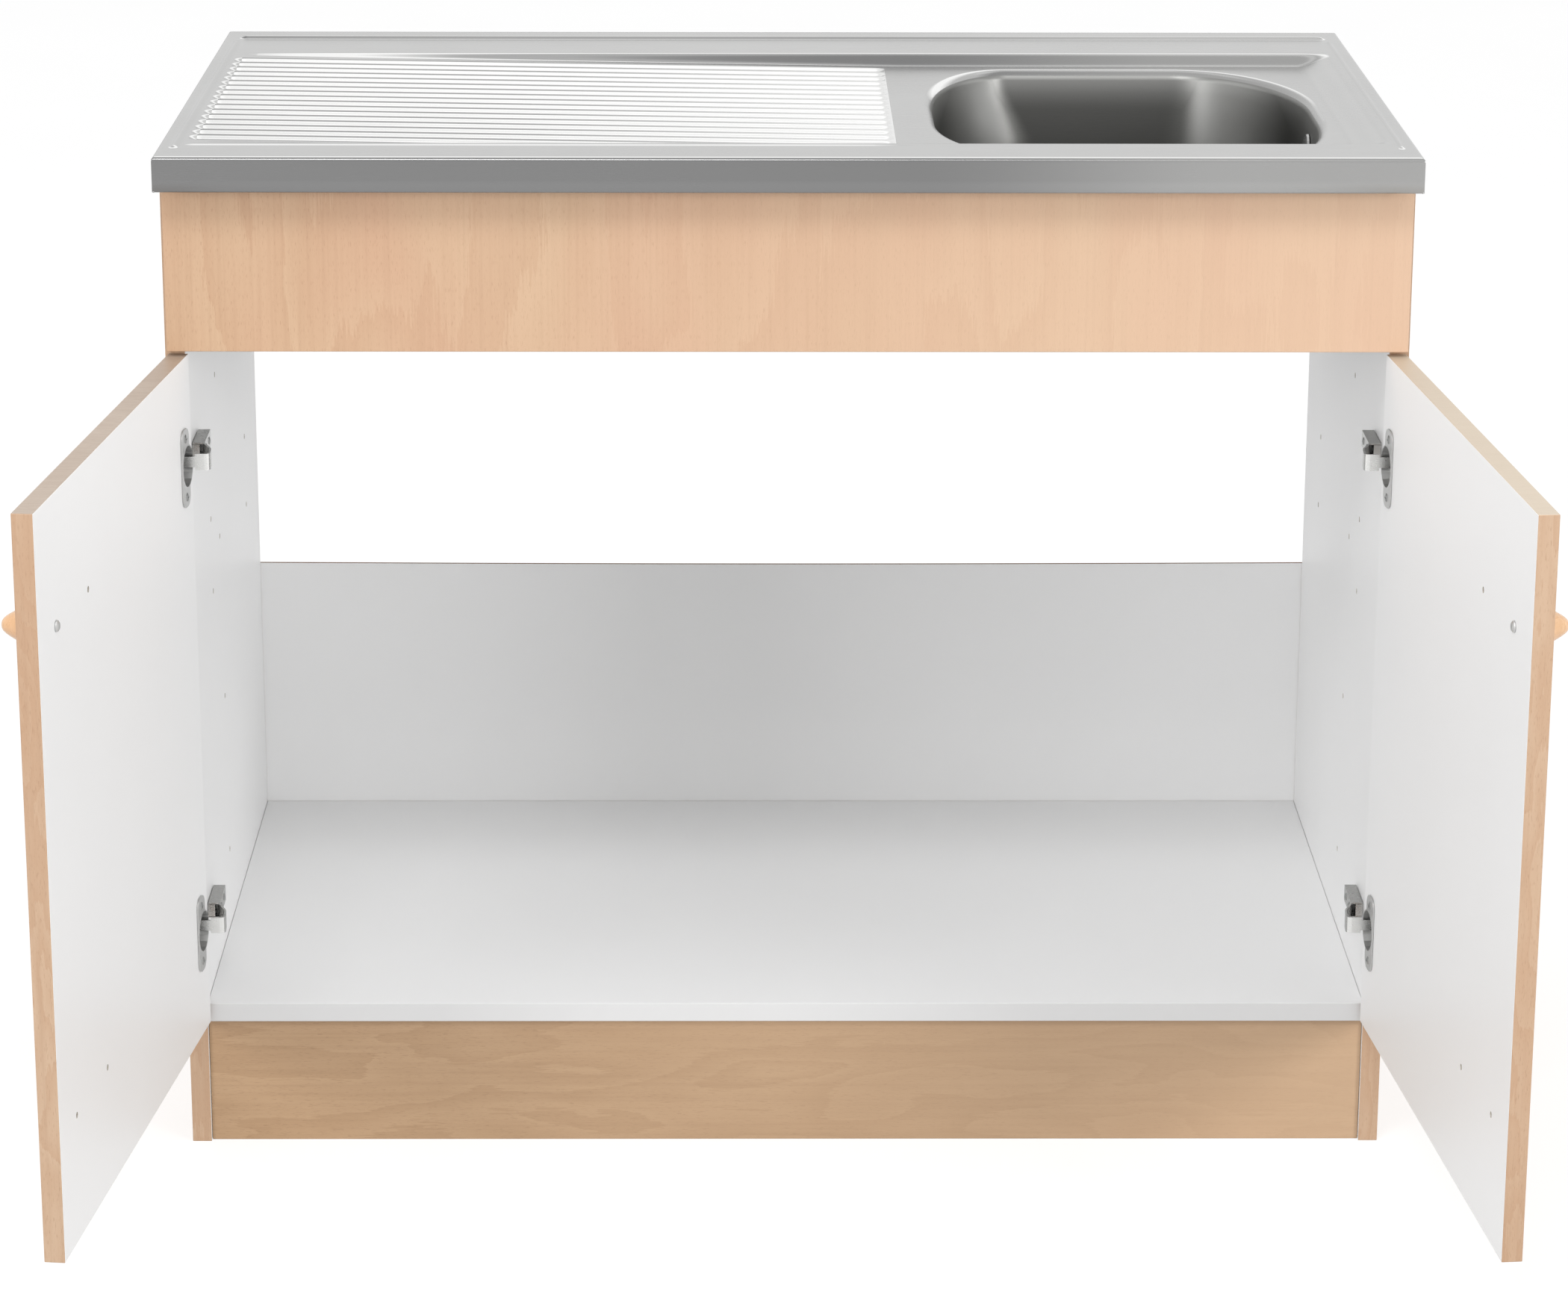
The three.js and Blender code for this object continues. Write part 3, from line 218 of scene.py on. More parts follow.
beech_upright = beech_foil("beech_foil_upright", "Z", "#d6b494", "#c79c7c", "#a27658", blush="#cf9f84")
# The fascia, the plinth and the top band take painted light and shade, paler towards the right.
beech_fascia = beech_foil("beech_foil_fascia", "Z", "#c6a687", "#b79172", "#986f52",
                          blush="#c2957a", painted_light_right="#dabba1")
beech_plinth = beech_foil("beech_foil_plinth", "X", "#b89877", "#a48362", "#836245",
                          flame_mm=45, painted_light_right="#c9ab8d")
# The top band is a paler copy of the edge band: painted sheen on the edge that looks up.
beech_top_painted_sheen = beech_foil("beech_band_top_painted_sheen", "X", "#bead9d", "#b09c8a", "#8f7660",
                       flame_mm=25, painted_light_right="#e5d6be")
beech_side = beech_foil("beech_foil_side", "Z", "#d8b898", "#c89f7b", "#a37854")
beech_band = beech_foil("beech_edge_band", "Z", "#c3a68b", "#b48f71", "#916b4e", flame_mm=25)
print("beech foils:", beech_upright.name, beech_fascia.name, beech_plinth.name, beech_side.name)

# %% [markdown]
# ## White melamine, hardboard and raw chipboard
# The insides are white melamine: hard, smooth, with a faint pearl grain pressed in by the press
# plate. The back is thin hardboard, lacquered white on its front and brown behind. Edges that
# nobody sees are left as raw chipboard, and its flakes are 2 to 4 mm long. The bottom's front edge
# has a white band of its own, which is a little greyer than the faces. One flat white would do from
# afar, but the uneven gloss and the fine bump make a board look pressed. The flakes are the cells
# of a Voronoi pattern, since each cell can have a tone of its own.

# %% White melamine and boards
CLOUD_SCALE, FIBRE_SCALE = 6.0, 900.0
GRAIN_BUMP, FLAKE_BUMP = (0.08, 0.2 * MM), (0.4, 0.4 * MM)
# How far the roughness goes below and above the value that is asked for.
GLOSSIER, DULLER = 0.06, 0.08


def pressed_white(name, colour, shade, grain_mm, roughness):
    material, tree, shader, place = new_material(name)
    fine = noise(tree, place, 1 / (grain_mm * MM), 2.0)
    cloud = noise(tree, place, CLOUD_SCALE, 2.0)
    dull = ranged(tree, fine, 0.0, 1.0, roughness - GLOSSIER, roughness + DULLER)
    fill(tree, shader, {"Base Color": blend(tree, cloud, colour, shade), "Roughness": dull,
                        "IOR": BOARD_IOR, "Normal": bumped(tree, fine, *GRAIN_BUMP)})
    return material


def flaked(name, light, dark, flake_mm, roughness):
    material, tree, shader, place = new_material(name)
    chips = add(tree, "ShaderNodeTexVoronoi", {"Vector": place, "Scale": 1 / (flake_mm * MM),
                                               "Randomness": 1.0})
    value = add(tree, "ShaderNodeSeparateColor", {"Color": chips.outputs["Color"]}).outputs[0]
    fibre = noise(tree, place, FIBRE_SCALE, 3.0)
    fill(tree, shader, {"Base Color": blend(tree, value, light, dark), "Roughness": roughness,
                        "Normal": bumped(tree, fibre, *FLAKE_BUMP)})
    return material


white_melamine = pressed_white("white_melamine", "#f6f6f6", "#f3f3f3", 0.9, 0.42)
white_edge_band = pressed_white("white_edge_band", "#dedede", "#dadada", 0.9, 0.4)
white_hardboard = pressed_white("white_lacquered_hardboard", "#f4f4f4", "#f0f0f0", 1.6, 0.5)
raw_hardboard = flaked("raw_hardboard", "#8a6a4c", "#75573c", 0.8, 0.75)
raw_chipboard = flaked("raw_chipboard", "#cbb28c", "#a98c62", 2.5, 0.85)
drilled_chipboard = flaked("drilled_chipboard", "#d6d0c6", "#bdb5a8", 1.5, 0.85)
print("whites and raw boards:", white_melamine.name, white_hardboard.name, raw_chipboard.name)

# %% [markdown]
# ## Steel, nickel, plastic and rubber
# The top is 18/10 stainless steel, finished with a fine grain that runs along the sheet. Long
# scratches blur reflections across them, so roughness and bump follow a noise that is
# stretched along X. Faces that look to the front or to the rear would mirror darker parts of the
# room, and that reflection is painted into the colour: the tone falls towards a darker steel as a
# face turns that way, less so on the right, where the room is lighter. A face that leans forward by
# only a few degrees takes a painted highlight, a light strip, instead. The drainer is painted
# brighter than the rest, as painted reflection: its flats and the rear side of each rib are darker
# on the left and bright on the right. The bowl is painted dark, as the shade of a bowl that mirrors
# itself, with painted highlights on its rim and on the corners, where the walls look diagonally.
# The hinges are nickel-plated pressed steel, and their arms are painted lighter where they look to
# the front or to the rear, as painted reflection. A room with dark panels could make these tones
# too, but it would spoil the even light on the boards.

# %% Metals
STEEL_CLOUDS, SCRATCH_BUMP = 9.0, (0.01, 0.1 * MM)
# The sum of both noises where the roughness is lowest and where it is highest.
NOISE_SUMS = (0.6, 1.4)
# How much a sideways lean adds, and the forward leans where the painted light strip comes in and goes
# out.
GLINT_SIDEWAYS, GLINT_STARTS, GLINT_ENDS = 0.08, (-0.015, -0.06), (-0.26, -0.14)
# The bowl's painted highlight: how diagonally a wall looks, and the band under the rim in metres.
DIAGONAL_WALL, UPPER_WALL, UPPER_SHARE = (0.2, 0.5), (0.806, 0.838), 0.5


def grained_steel(name, bright, dull, scratch_mm, ratio, roughness, spread, corners=None, **painted_reflection_tones):
    material, tree, shader, place = new_material(name)
    scratch = noise(tree, stretched(tree, place, "X", scratch_mm, ratio), 1.0, 3.0, Roughness=0.6)
    cloud = noise(tree, place, STEEL_CLOUDS, 3.0)
    tone = blend(tree, scratch, bright, dull)
    # Painted reflection: other tones by the way a face looks.
    if painted_reflection_tones:
        tone = painted_reflection(tree, place, tone, **painted_reflection_tones)
    # A painted highlight on the rim and on diagonal walls, in the colour given as corners.
    if corners:
        tone = lit_corners(tree, place, tone, corners)
    rough = ranged(tree, maths(tree, "ADD", scratch, cloud), *NOISE_SUMS, roughness - spread,
                   roughness + spread)
    fill(tree, shader, {"Base Color": tone, "Roughness": rough, "Metallic": 1.0,
                        "Normal": bumped(tree, scratch, *SCRATCH_BUMP)})
    return material


def painted_reflection(tree, place, tone, left, right, front=(-0.05, -0.7), rear=(0.06, 0.3), lean=0.0,
           along_x=(0.1, 0.36), glint=None):
    """Paints reflection into the tone: blends it to another on faces that look to the front or to
    the rear.

    The other tone changes from left to right. Where a glint is given, faces that lean forward by
    only a few degrees take it, as a painted highlight.
    """
    normal = surface_normal(tree)
    if glint:
        forward = maths(tree, "MULTIPLY_ADD", normal["X"], GLINT_SIDEWAYS, normal["Y"])
        lit = maths(tree, "MINIMUM", ranged(tree, forward, *GLINT_STARTS),
                    ranged(tree, forward, *GLINT_ENDS))
        tone = blend(tree, lit, tone, glint)
    facing = maths(tree, "MULTIPLY_ADD", normal["X"], lean, normal["Y"])
    turned = maths(tree, "MAXIMUM", ranged(tree, facing, *front), ranged(tree, normal["Y"], *rear))
    share = ranged(tree, parts_of(tree, place)["X"], *along_x, kind="SMOOTHSTEP")
    return blend(tree, turned, tone, blend(tree, share, left, right))


def lit_corners(tree, place, tone, light):
    """Paints a highlight: a lighter tone near the rim, and on walls that look diagonally."""
    normal = surface_normal(tree)
    size = maths(tree, "ABSOLUTE", maths(tree, "MULTIPLY", normal["X"], normal["Y"]))
    diagonal = ranged(tree, size, *DIAGONAL_WALL, kind="SMOOTHSTEP")
    height = parts_of(tree, place)["Z"]
    upper = ranged(tree, height, *UPPER_WALL, high=UPPER_SHARE, kind="SMOOTHSTEP")
    return blend(tree, maths(tree, "MAXIMUM", diagonal, upper), tone, light)


# Front-, rear- and left-facing faces take painted reflection, darker on the left; a painted glint.
sheet_steel_painted_reflection = grained_steel("satin_stainless_sheet_painted_reflection", "#b8b8b7", "#aeaead", 0.7, 60, 0.26, 0.03,
                            left="#808080", right="#a0a09f", front=(-0.14, -0.45), rear=(0.02, 0.14),
                            lean=0.8, glint="#f4f4f3")
# Painted reflection: forward-leaning rib walls bright, the rest darker on the left, bright on the
# right.
drainer_painted_reflection = grained_steel("pressed_drainer_painted_reflection", "#e2e2e1", "#dbdbda", 0.7, 60, 0.24, 0.02,
                              left="#707070", right="#f2f2f1", front=(-0.5, -0.9), rear=(-0.32, -0.12),
                              along_x=(-0.28, 0.2))
# The bowl is painted dark, as painted shade, with painted highlights on its corners and rim.
bowl_painted_shade_and_highlight = grained_steel("satin_stainless_bowl_painted_shade_and_highlight", "#626260", "#5c5c5a", 0.8, 14, 0.42, 0.04,
                           corners="#aaaaa8")
# Arm and plate nickel: painted darker, and lighter where it looks front or rear, as painted reflection.
nickel_arm_painted_reflection = grained_steel("nickel_plated_arm_painted_reflection", "#a4a4a2", "#989896", 1.5, 2, 0.28, 0.06,
                           left="#d2d2d0", right="#d2d2d0")
nickel_cup = grained_steel("nickel_plated_cup", "#c6c6c4", "#bababa", 1.2, 2, 0.46, 0.06)
zinc_steel = grained_steel("zinc_plated_screw", "#b9bab9", "#8f908f", 0.8, 1, 0.32, 0.08)
print("metals:", sheet_steel_painted_reflection.name, drainer_painted_reflection.name, bowl_painted_shade_and_highlight.name, nickel_arm_painted_reflection.name)

# %% [markdown]
# ## Lacquered wood, plastic and rubber
# The knobs are solid beech under clear lacquer, with smaller flames than the foil's and a glossy
# coat. The waste is white moulded plastic with a black rubber gasket. One colour each would nearly
# do, but a moulded skin is never quite even, so both take the white boards' function.

# %% Wood, plastic and rubber
LACQUER = 0.4
turned_beech = beech_foil("lacquered_turned_beech", "Z", "#eac299", "#dbab7c", "#b98554", flame_mm=9,
                          roughness=0.28)
turned_beech.node_tree.nodes["Principled BSDF"].inputs["Coat Weight"].default_value = LACQUER
white_plastic = pressed_white("moulded_polypropylene", "#e9e9e4", "#e2e2dc", 0.6, 0.45)
black_rubber = pressed_white("nitrile_rubber", "#2c2c2b", "#232322", 0.8, 0.7)
print("knob, waste and gasket materials ready")

# %% [markdown]
# ## Boards
# A cabinet board is a flat panel with a band glued round its edges. A box whose edges are
# rounded by half a millimetre catches a thin line of light, as the real bands do. Each face takes
# the foil that it has on the real board, chosen by the way that it looks. A Bevel modifier could
# do the rounding, but then its small faces couldn't be given their foils.

# %% Build a board with its own foils
FACES = {"-X": (-1, 0, 0), "+X": (1, 0, 0), "-Y": (0, -1, 0), "+Y": (0, 1, 0),
         "-Z": (0, 0, -1), "+Z": (0, 0, 1)}


def mesh_object(name, bm, materials, smooth=None):
    mesh = bpy.data.meshes.new(name)
    bm.normal_update()
    bm.to_mesh(mesh)
    bm.free()
    for material in materials:
        mesh.materials.append(material)
    piece = bpy.data.objects.new(name, mesh)
    bpy.context.collection.objects.link(piece)
    if smooth is not None:
        mesh.shade_smooth()
        mesh.set_sharp_from_angle(angle=radians(smooth))
    return piece


def board_mesh(low, high, foils, edge_mm=0.5):
    materials = list(dict.fromkeys(foils.values()))
    bm = bmesh.new()
    bmesh.ops.create_cube(bm, size=1.0)
    size = Vector(high) - Vector(low)
    bmesh.ops.scale(bm, vec=size, verts=bm.verts)
    bmesh.ops.translate(bm, vec=(Vector(high) + Vector(low)) / 2, verts=bm.verts)
    bmesh.ops.bevel(bm, geom=list(bm.edges), offset=edge_mm * MM, segments=2, affect="EDGES",
                    profile=0.5)
    bm.normal_update()
    for face in bm.faces:
        way = max(FACES, key=lambda key: face.normal.dot(Vector(FACES[key])))
        face.material_index = materials.index(foils[way])
    return bm, materials


def cabinet_board(node, foils, edge_mm=0.5):
    low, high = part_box(node)
    bm, materials = board_mesh(low, high, foils, edge_mm)
    piece = mesh_object(node + "_board", bm, materials)
    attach(piece, "cabinet")
    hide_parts(node)


print("board helper ready")

# %% [markdown]
# ## Drilled holes
# The blind 5 mm holes for shelf pins and other handles, and the round pockets for the hinge cups,
# are cut with a Boolean modifier, which is applied at once so that the board stays a plain mesh.
# The cutter carries a pale material, chipboard with the melamine's dust on it, for the hole's wall.
# Dark discs laid on the faces would be simpler, but from near by they would look painted on.

# %% Drill holes
HOLE_RADIUS, HOLE_DEPTH = 2.5 * MM, 8 * MM
CUTTER_OVER = 0.5 * MM


def cut_away(body, cutter, **settings):
    """Takes the cutter out of the body, and gives back the plain mesh that is left."""
    cut = body.modifiers.new("cut", "BOOLEAN")
    cut.object = cutter
    cut.operation = "DIFFERENCE"
    cut.solver = "EXACT"
    for name, value in settings.items():
        setattr(cut, name, value)
    depsgraph = bpy.context.evaluated_depsgraph_get()
    mesh = bpy.data.meshes.new_from_object(body.evaluated_get(depsgraph))
    for spare in (body, cutter):
        bpy.data.objects.remove(spare, do_unlink=True)
    return mesh


def drill(bm, materials, holes):
    """Each hole is (middle of its mouth, direction into the board, radius, depth), in metres."""
    board = mesh_object("board_blank", bm, materials)
    cutter_bm = bmesh.new()
    for mouth, way, radius, depth in holes:
        turn = Vector((0, 0, 1)).rotation_difference(Vector(way)).to_matrix().to_4x4()
        middle = Vector(mouth) + Vector(way) * (depth / 2 - CUTTER_OVER)
        bmesh.ops.create_cone(cutter_bm, cap_ends=True, segments=32, radius1=radius, radius2=radius,
                              depth=depth + 2 * CUTTER_OVER,
                              matrix=Matrix.Translation(middle) @ turn)
    cutter = mesh_object("drill_bit", cutter_bm, [drilled_chipboard])
    drilled = cut_away(board, cutter, material_mode="TRANSFER")
    out = bmesh.new()
    out.from_mesh(drilled)
    return out, list(drilled.materials)


print("drill ready")

# %% [markdown]
# ## The cabinet
# Two side panels, a bottom, a plinth, a fascia, a rear rail and a thin back. The faces that
# show outside are beech foil, the ones that show inside are white, and the rest is raw. Each one
# takes its size from the frame's own board, so that the two can't drift apart.

# %% Side panels, bottom and rails
# How far each hole is behind the panel's front edge, and its height, in mm.
SIDE_HOLES = [(143, 505), (143, 442), (426, 505), (426, 442),
              (205, 615), (205, 473), (205, 330), (205, 190)]


def side_board(side, sign):
    node = f"side_panel_{side}"
    low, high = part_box(node)
    inner_x = high.x if sign < 0 else low.x
    foils = dict.fromkeys(FACES, raw_chipboard)
    foils.update({"-Y": beech_band, "-X": beech_side, "+X": beech_side})
    foils["+X" if sign < 0 else "-X"] = white_melamine
    bm, materials = board_mesh(low, high, foils)
    holes = [((inner_x, low.y + back * MM, up * MM), (sign, 0, 0), HOLE_RADIUS, HOLE_DEPTH)
             for back, up in SIDE_HOLES]
    bm, materials = drill(bm, materials, holes)
    piece = mesh_object(node + "_board", bm, materials)
    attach(piece, "cabinet")
    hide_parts(node)


for side, sign in (("left", -1), ("right", 1)):
    side_board(side, sign)

white_all = dict.fromkeys(FACES, white_melamine)
cabinet_board("bottom_panel",
              {**white_all, "+Y": raw_chipboard, "-Y": white_edge_band})
cabinet_board("rear_rail", {**white_all, "+Z": raw_chipboard})
cabinet_board("fascia_panel",
              {**dict.fromkeys(FACES, beech_band), "-Y": beech_fascia, "+Y": white_melamine}, 0.8)
cabinet_board("plinth_board",
              {**dict.fromkeys(FACES, raw_chipboard), "-Y": beech_plinth})
print("cabinet boards made")

# %% [markdown]
# ## The thin back
# A hardboard back is nailed to the rear edges. It never stays quite flat: between its nails the
# top edge sags a little. Small nail heads hold it along both sides and the bottom. A grid is bent
# and then extruded: cloth would be much work for so small a sag.

# %% Back panel and its nails
BOW, BACK_COLUMNS, BACK_ROWS = 1.4 * MM, 24, 6
NAIL_IN, NAIL_UP, NAIL_STANDS = 6 * MM, 8 * MM, 0.9 * MM
NAIL_HEAD = [(0, 0), (1.7, 0), (1.7, 0.5), (1.3, 0.8), (0, 0.85)]
# Along the bottom and up each side, in metres.
NAILS_ALONG, NAILS_UP = (-0.40, -0.20, 0, 0.20, 0.40), (0.15, 0.22, 0.29, 0.345)


def back_board():
    low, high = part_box("back_panel")
    bm = bmesh.new()
    bmesh.ops.create_grid(bm, x_segments=BACK_COLUMNS, y_segments=BACK_ROWS, size=0.5)
    for vert in bm.verts:
        u, v = vert.co.x + 0.5, vert.co.y + 0.5
        fallen = BOW * sin(pi * u) * v
        up = low.z + v * (high.z - low.z) - fallen
        vert.co = Vector((low.x + u * (high.x - low.x), low.y, up))
    sheet = bmesh.ops.extrude_face_region(bm, geom=list(bm.faces))
    moved = [item for item in sheet["geom"] if isinstance(item, bmesh.types.BMVert)]
    bmesh.ops.translate(bm, verts=moved, vec=(0, high.y - low.y, 0))
    bmesh.ops.recalc_face_normals(bm, faces=bm.faces)
    for face in bm.faces:
        face.material_index = 0 if face.normal.y < -0.5 else 1
    piece = mesh_object("back_panel_sheet", bm, [white_hardboard, raw_hardboard])
    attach(piece, "cabinet")
    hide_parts("back_panel")


def lathe(bm, profile, matrix, steps):
    """Spins (radius, height) pairs round Z and puts the result where the matrix says."""
    spun = bmesh.new()
    verts = [spun.verts.new((r * MM, 0, h * MM)) for r, h in profile]
    edges = [spun.edges.new(pair) for pair in zip(verts, verts[1:])]
    bmesh.ops.spin(spun, geom=verts + edges, axis=(0, 0, 1), cent=(0, 0, 0), steps=steps, angle=2 * pi,
                   use_merge=True)
    bmesh.ops.remove_doubles(spun, verts=spun.verts, dist=1e-6)
    bmesh.ops.recalc_face_normals(spun, faces=spun.faces)
    bmesh.ops.transform(spun, matrix=matrix, verts=spun.verts)
    turned = bpy.data.meshes.new("turned_shape")
    spun.to_mesh(turned)
    spun.free()
    bm.from_mesh(turned)
    bpy.data.meshes.remove(turned)


def nail_heads():
    low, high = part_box("back_panel")
    bm = bmesh.new()
    spots = [(x, low.z + NAIL_UP) for x in NAILS_ALONG]
    spots += [(sign * (high.x - NAIL_IN), z) for sign in (-1, 1) for z in NAILS_UP]
    backwards = Matrix.Rotation(radians(-90), 4, "X")
    for x, z in spots:
        spot = Matrix.Translation((x, high.y - NAIL_STANDS, z))
        lathe(bm, NAIL_HEAD, spot @ backwards, steps=12)
    piece = mesh_object("back_panel_nails", bm, [zinc_steel], smooth=40)
    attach(piece, "cabinet")


back_board()
nail_heads()
print("back panel nailed on")

# %% [markdown]
# ## The doors
# Each door hangs on two concealed hinges and stands open by a little more than a right angle. It
# is drawn closed, from its hinge pin: x runs to the free edge and y into the cabinet. One matrix
# then swings it open to where it stands in the photograph, and mirrors it for the right.

# %% Where each door stands
# Angles are in degrees and lengths in mm.
PIN = {"left": Vector((-490.524, -24, 0)), "right": Vector((490.524, -24, 0))}
OPEN = {"left": -96.4, "right": 95.1}
PIN_FROM_EDGE = 7.476
DOOR_WIDTH, KNOB_FROM_EDGE = 496, 51
DOOR_X = (-PIN_FROM_EDGE, DOOR_WIDTH - PIN_FROM_EDGE)
DOOR_Y = (-7, 9)
DOOR_Z = (110, 682.7)
HINGE_Z = (198, 594.7)
KNOB_X, KNOB_Z = DOOR_WIDTH - KNOB_FROM_EDGE - PIN_FROM_EDGE, 585.7
CUP_FROM_EDGE, CUP_HOLE_RADIUS, CUP_HOLE_DEPTH = 20.5, 17.8, 12.9
SPARE_HOLE_STEP, DOOR_ROUNDING = 96, 0.7


def door_pose(side):
    swing = Matrix.Translation(PIN[side] * MM) @ Matrix.Rotation(radians(OPEN[side]), 4, "Z")
    return swing @ Matrix.Scale(-1 if side == "right" else 1, 4, (1, 0, 0))


def pose_on_door(bm, side):
    bmesh.ops.transform(bm, matrix=door_pose(side), verts=bm.verts)
    if side == "right":
        bmesh.ops.reverse_faces(bm, faces=bm.faces)


print("door pin at", [round(v) for v in PIN["left"]], "mm")

# %% [markdown]
# ## The door boards
# A door is chipboard with beech foil outside, white melamine inside and a band round its edges.
# Its inner face has two wide pockets for the hinge cups and three small holes for other handles.
# They are drilled while the door is still closed, when each of them is square to an axis.

# %% Door boards
def door_board(side):
    low = Vector((DOOR_X[0], DOOR_Y[0], DOOR_Z[0])) * MM
    high = Vector((DOOR_X[1], DOOR_Y[1], DOOR_Z[1])) * MM
    foils = dict.fromkeys(FACES, beech_band)
    # The top face takes the paler band, which carries painted sheen.
    foils.update({"-Y": beech_upright, "+Y": white_melamine, "+Z": beech_top_painted_sheen})
    bm, materials = board_mesh(low, high, foils, DOOR_ROUNDING)
    into = (0, -1, 0)
    face_y = DOOR_Y[1] * MM
    cup_x = (CUP_FROM_EDGE - PIN_FROM_EDGE) * MM
    holes = [((cup_x, face_y, z * MM), into, CUP_HOLE_RADIUS * MM, CUP_HOLE_DEPTH * MM)
             for z in HINGE_Z]
    inner_x, mirror_z = KNOB_X - SPARE_HOLE_STEP, DOOR_Z[0] + DOOR_Z[1] - KNOB_Z
    spare = [(inner_x, KNOB_Z), (inner_x, mirror_z), (KNOB_X, mirror_z)]
    holes += [((x * MM, face_y, z * MM), into, HOLE_RADIUS, HOLE_DEPTH) for x, z in spare]
    bm, materials = drill(bm, materials, holes)
    pose_on_door(bm, side)
    piece = mesh_object(f"door_{side}_board", bm, materials)
    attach(piece, f"door_{side}")
    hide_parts(f"door_{side}")


for side in ("left", "right"):
    door_board(side)
print("doors hung")

# %% [markdown]
# ## Turned knobs
# Each knob is turned from solid beech and lacquered: a short neck, then a blunt cone with a round
# nose. It is one smooth curve spun round its axis, closer to the real one than the frame's few
# sides. The Screw modifier would spin it as well, but a finished mesh is simpler to hand over.

# %% Knobs
# (radius, distance from the door) in mm, from the foot to the nose.
KNOB_FOOT = [(0, 0), (8.5, 0)]
KNOB_CURVE = [(8.5, 2.6), (9.2, 3.4), (11.5, 4.2), (13.4, 5), (13.95, 6), (13.6, 7.5), (12.4, 10),
              (10.5, 13.7), (7.6, 18.7), (5.1, 21.9), (2.8, 23.4), (0, 23.95)]
KNOB_GAP = 0.05


def curve_points(points, steps):
    """A smooth run through (radius, height) points, by Catmull-Rom interpolation."""
    padded = [points[0], *points, points[-1]]
    out = []
    for p0, p1, p2, p3 in zip(padded, padded[1:], padded[2:], padded[3:]):
        for k in range(steps):
            t = k / steps
            out.append(tuple(0.5 * (2 * b + (c - a) * t + (2 * a - 5 * b + 4 * c - d) * t * t
                                    + (3 * b - a - 3 * c + d) * t ** 3)
                             for a, b, c, d in zip(p0, p1, p2, p3)))
    return [*out, points[-1]]


def knob(side):
    bm = bmesh.new()
    foot = Matrix.Translation(Vector((KNOB_X, DOOR_Y[0] - KNOB_GAP, KNOB_Z)) * MM)
    profile = [*KNOB_FOOT, *curve_points(KNOB_CURVE, steps=5)]
    lathe(bm, profile, foot @ Matrix.Rotation(radians(90), 4, "X"), steps=48)
    pose_on_door(bm, side)
    piece = mesh_object(f"knob_{side}_turned", bm, [turned_beech], smooth=50)
    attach(piece, f"door_{side}")
    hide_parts(f"knob_{side}")


for side in ("left", "right"):
    knob(side)
print("knobs turned")

# %% [markdown]
# ## Screws
# The cup plates, mounting plates and hinge arms show small cross-head screws. A head is cut once,
# with its cross recess, and then copied to every place on the same body. A cross in the material
# would be lighter, but only a cut one holds a shadow.

# %% Screw heads
# The recess: its length and width for a head of radius 1, then its middle and depth in mm.
CROSS_LENGTH, CROSS_WIDTH, CROSS_MIDDLE, CROSS_DEPTH = 1.15, 0.24, 0.9, 1.1
# The head's outline: (share of the radius, height in mm), and the radius of either kind.
HEAD_DOME = [(0, -0.4), (1, -0.4), (1, 0.15), (0.86, 0.62), (0.55, 0.92), (0, 1.0)]
CUP_HEAD_RADIUS, ARM_HEAD_RADIUS = 3.6, 3.2
# Where the screws of a cup sit on the door, and what lies between the middle and an arm's screws.
CUP_SCREW_FROM_EDGE, CUP_SCREW_Y, CUP_SCREW_APART = 26.5, 10.5, 24
CABINET_HALF, BOARD, ARM_RISE, HEAD_RISE, CABINET_FRONT = 500, 16, 9.6, 0.8, -12
ARM_SCREWS_BACK = (36, 58)


def screw_head(radius):
    bm = bmesh.new()
    dome = [(radius * share, height) for share, height in HEAD_DOME]
    lathe(bm, dome, Matrix.Identity(4), steps=24)
    head = mesh_object("screw_blank", bm, [zinc_steel])
    cross = bmesh.new()
    for turn in (0, 90):
        matrix = Matrix.Rotation(radians(turn), 4, "Z") @ Matrix.Translation((0, 0, CROSS_MIDDLE * MM))
        size = (radius * CROSS_LENGTH * MM, radius * CROSS_WIDTH * MM, CROSS_DEPTH * MM, 1)
        bmesh.ops.create_cube(cross, size=1.0, matrix=matrix @ Matrix.Diagonal(size))
    cutter = mesh_object("cross_cutter", cross, [zinc_steel])
    return cut_away(head, cutter, use_self=True)


def screws(name, body, head, places):
    """Copies the head to each place. A mirrored copy comes out inside out, so it is turned back."""
    bm = bmesh.new()
    for place in places:
        start = len(bm.verts)
        bm.from_mesh(head)
        bm.verts.ensure_lookup_table()
        made = [bm.verts[i] for i in range(start, len(bm.verts))]
        bmesh.ops.transform(bm, matrix=place, verts=made)
    bmesh.ops.recalc_face_normals(bm, faces=bm.faces)
    piece = mesh_object(name, bm, [zinc_steel], smooth=35)
    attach(piece, body)


def cup_screw_places(side):
    face = Matrix.Rotation(radians(-90), 4, "X")
    across_door = CUP_SCREW_FROM_EDGE - PIN_FROM_EDGE
    spots = [Vector((across_door, CUP_SCREW_Y, z + end)) * MM
             for z in HINGE_Z for end in (-CUP_SCREW_APART, CUP_SCREW_APART)]
    return [door_pose(side) @ Matrix.Translation(spot) @ face for spot in spots]


def arm_screw_places():
    places = []
    from_middle = CABINET_HALF - BOARD - ARM_RISE - HEAD_RISE
    for sign in (-1, 1):
        face = Matrix.Rotation(radians(-sign * 90), 4, "Y")
        for z in HINGE_Z:
            for back in ARM_SCREWS_BACK:
                spot = Vector((sign * from_middle, CABINET_FRONT + back, z)) * MM
                places.append(Matrix.Translation(spot) @ face)
    return places


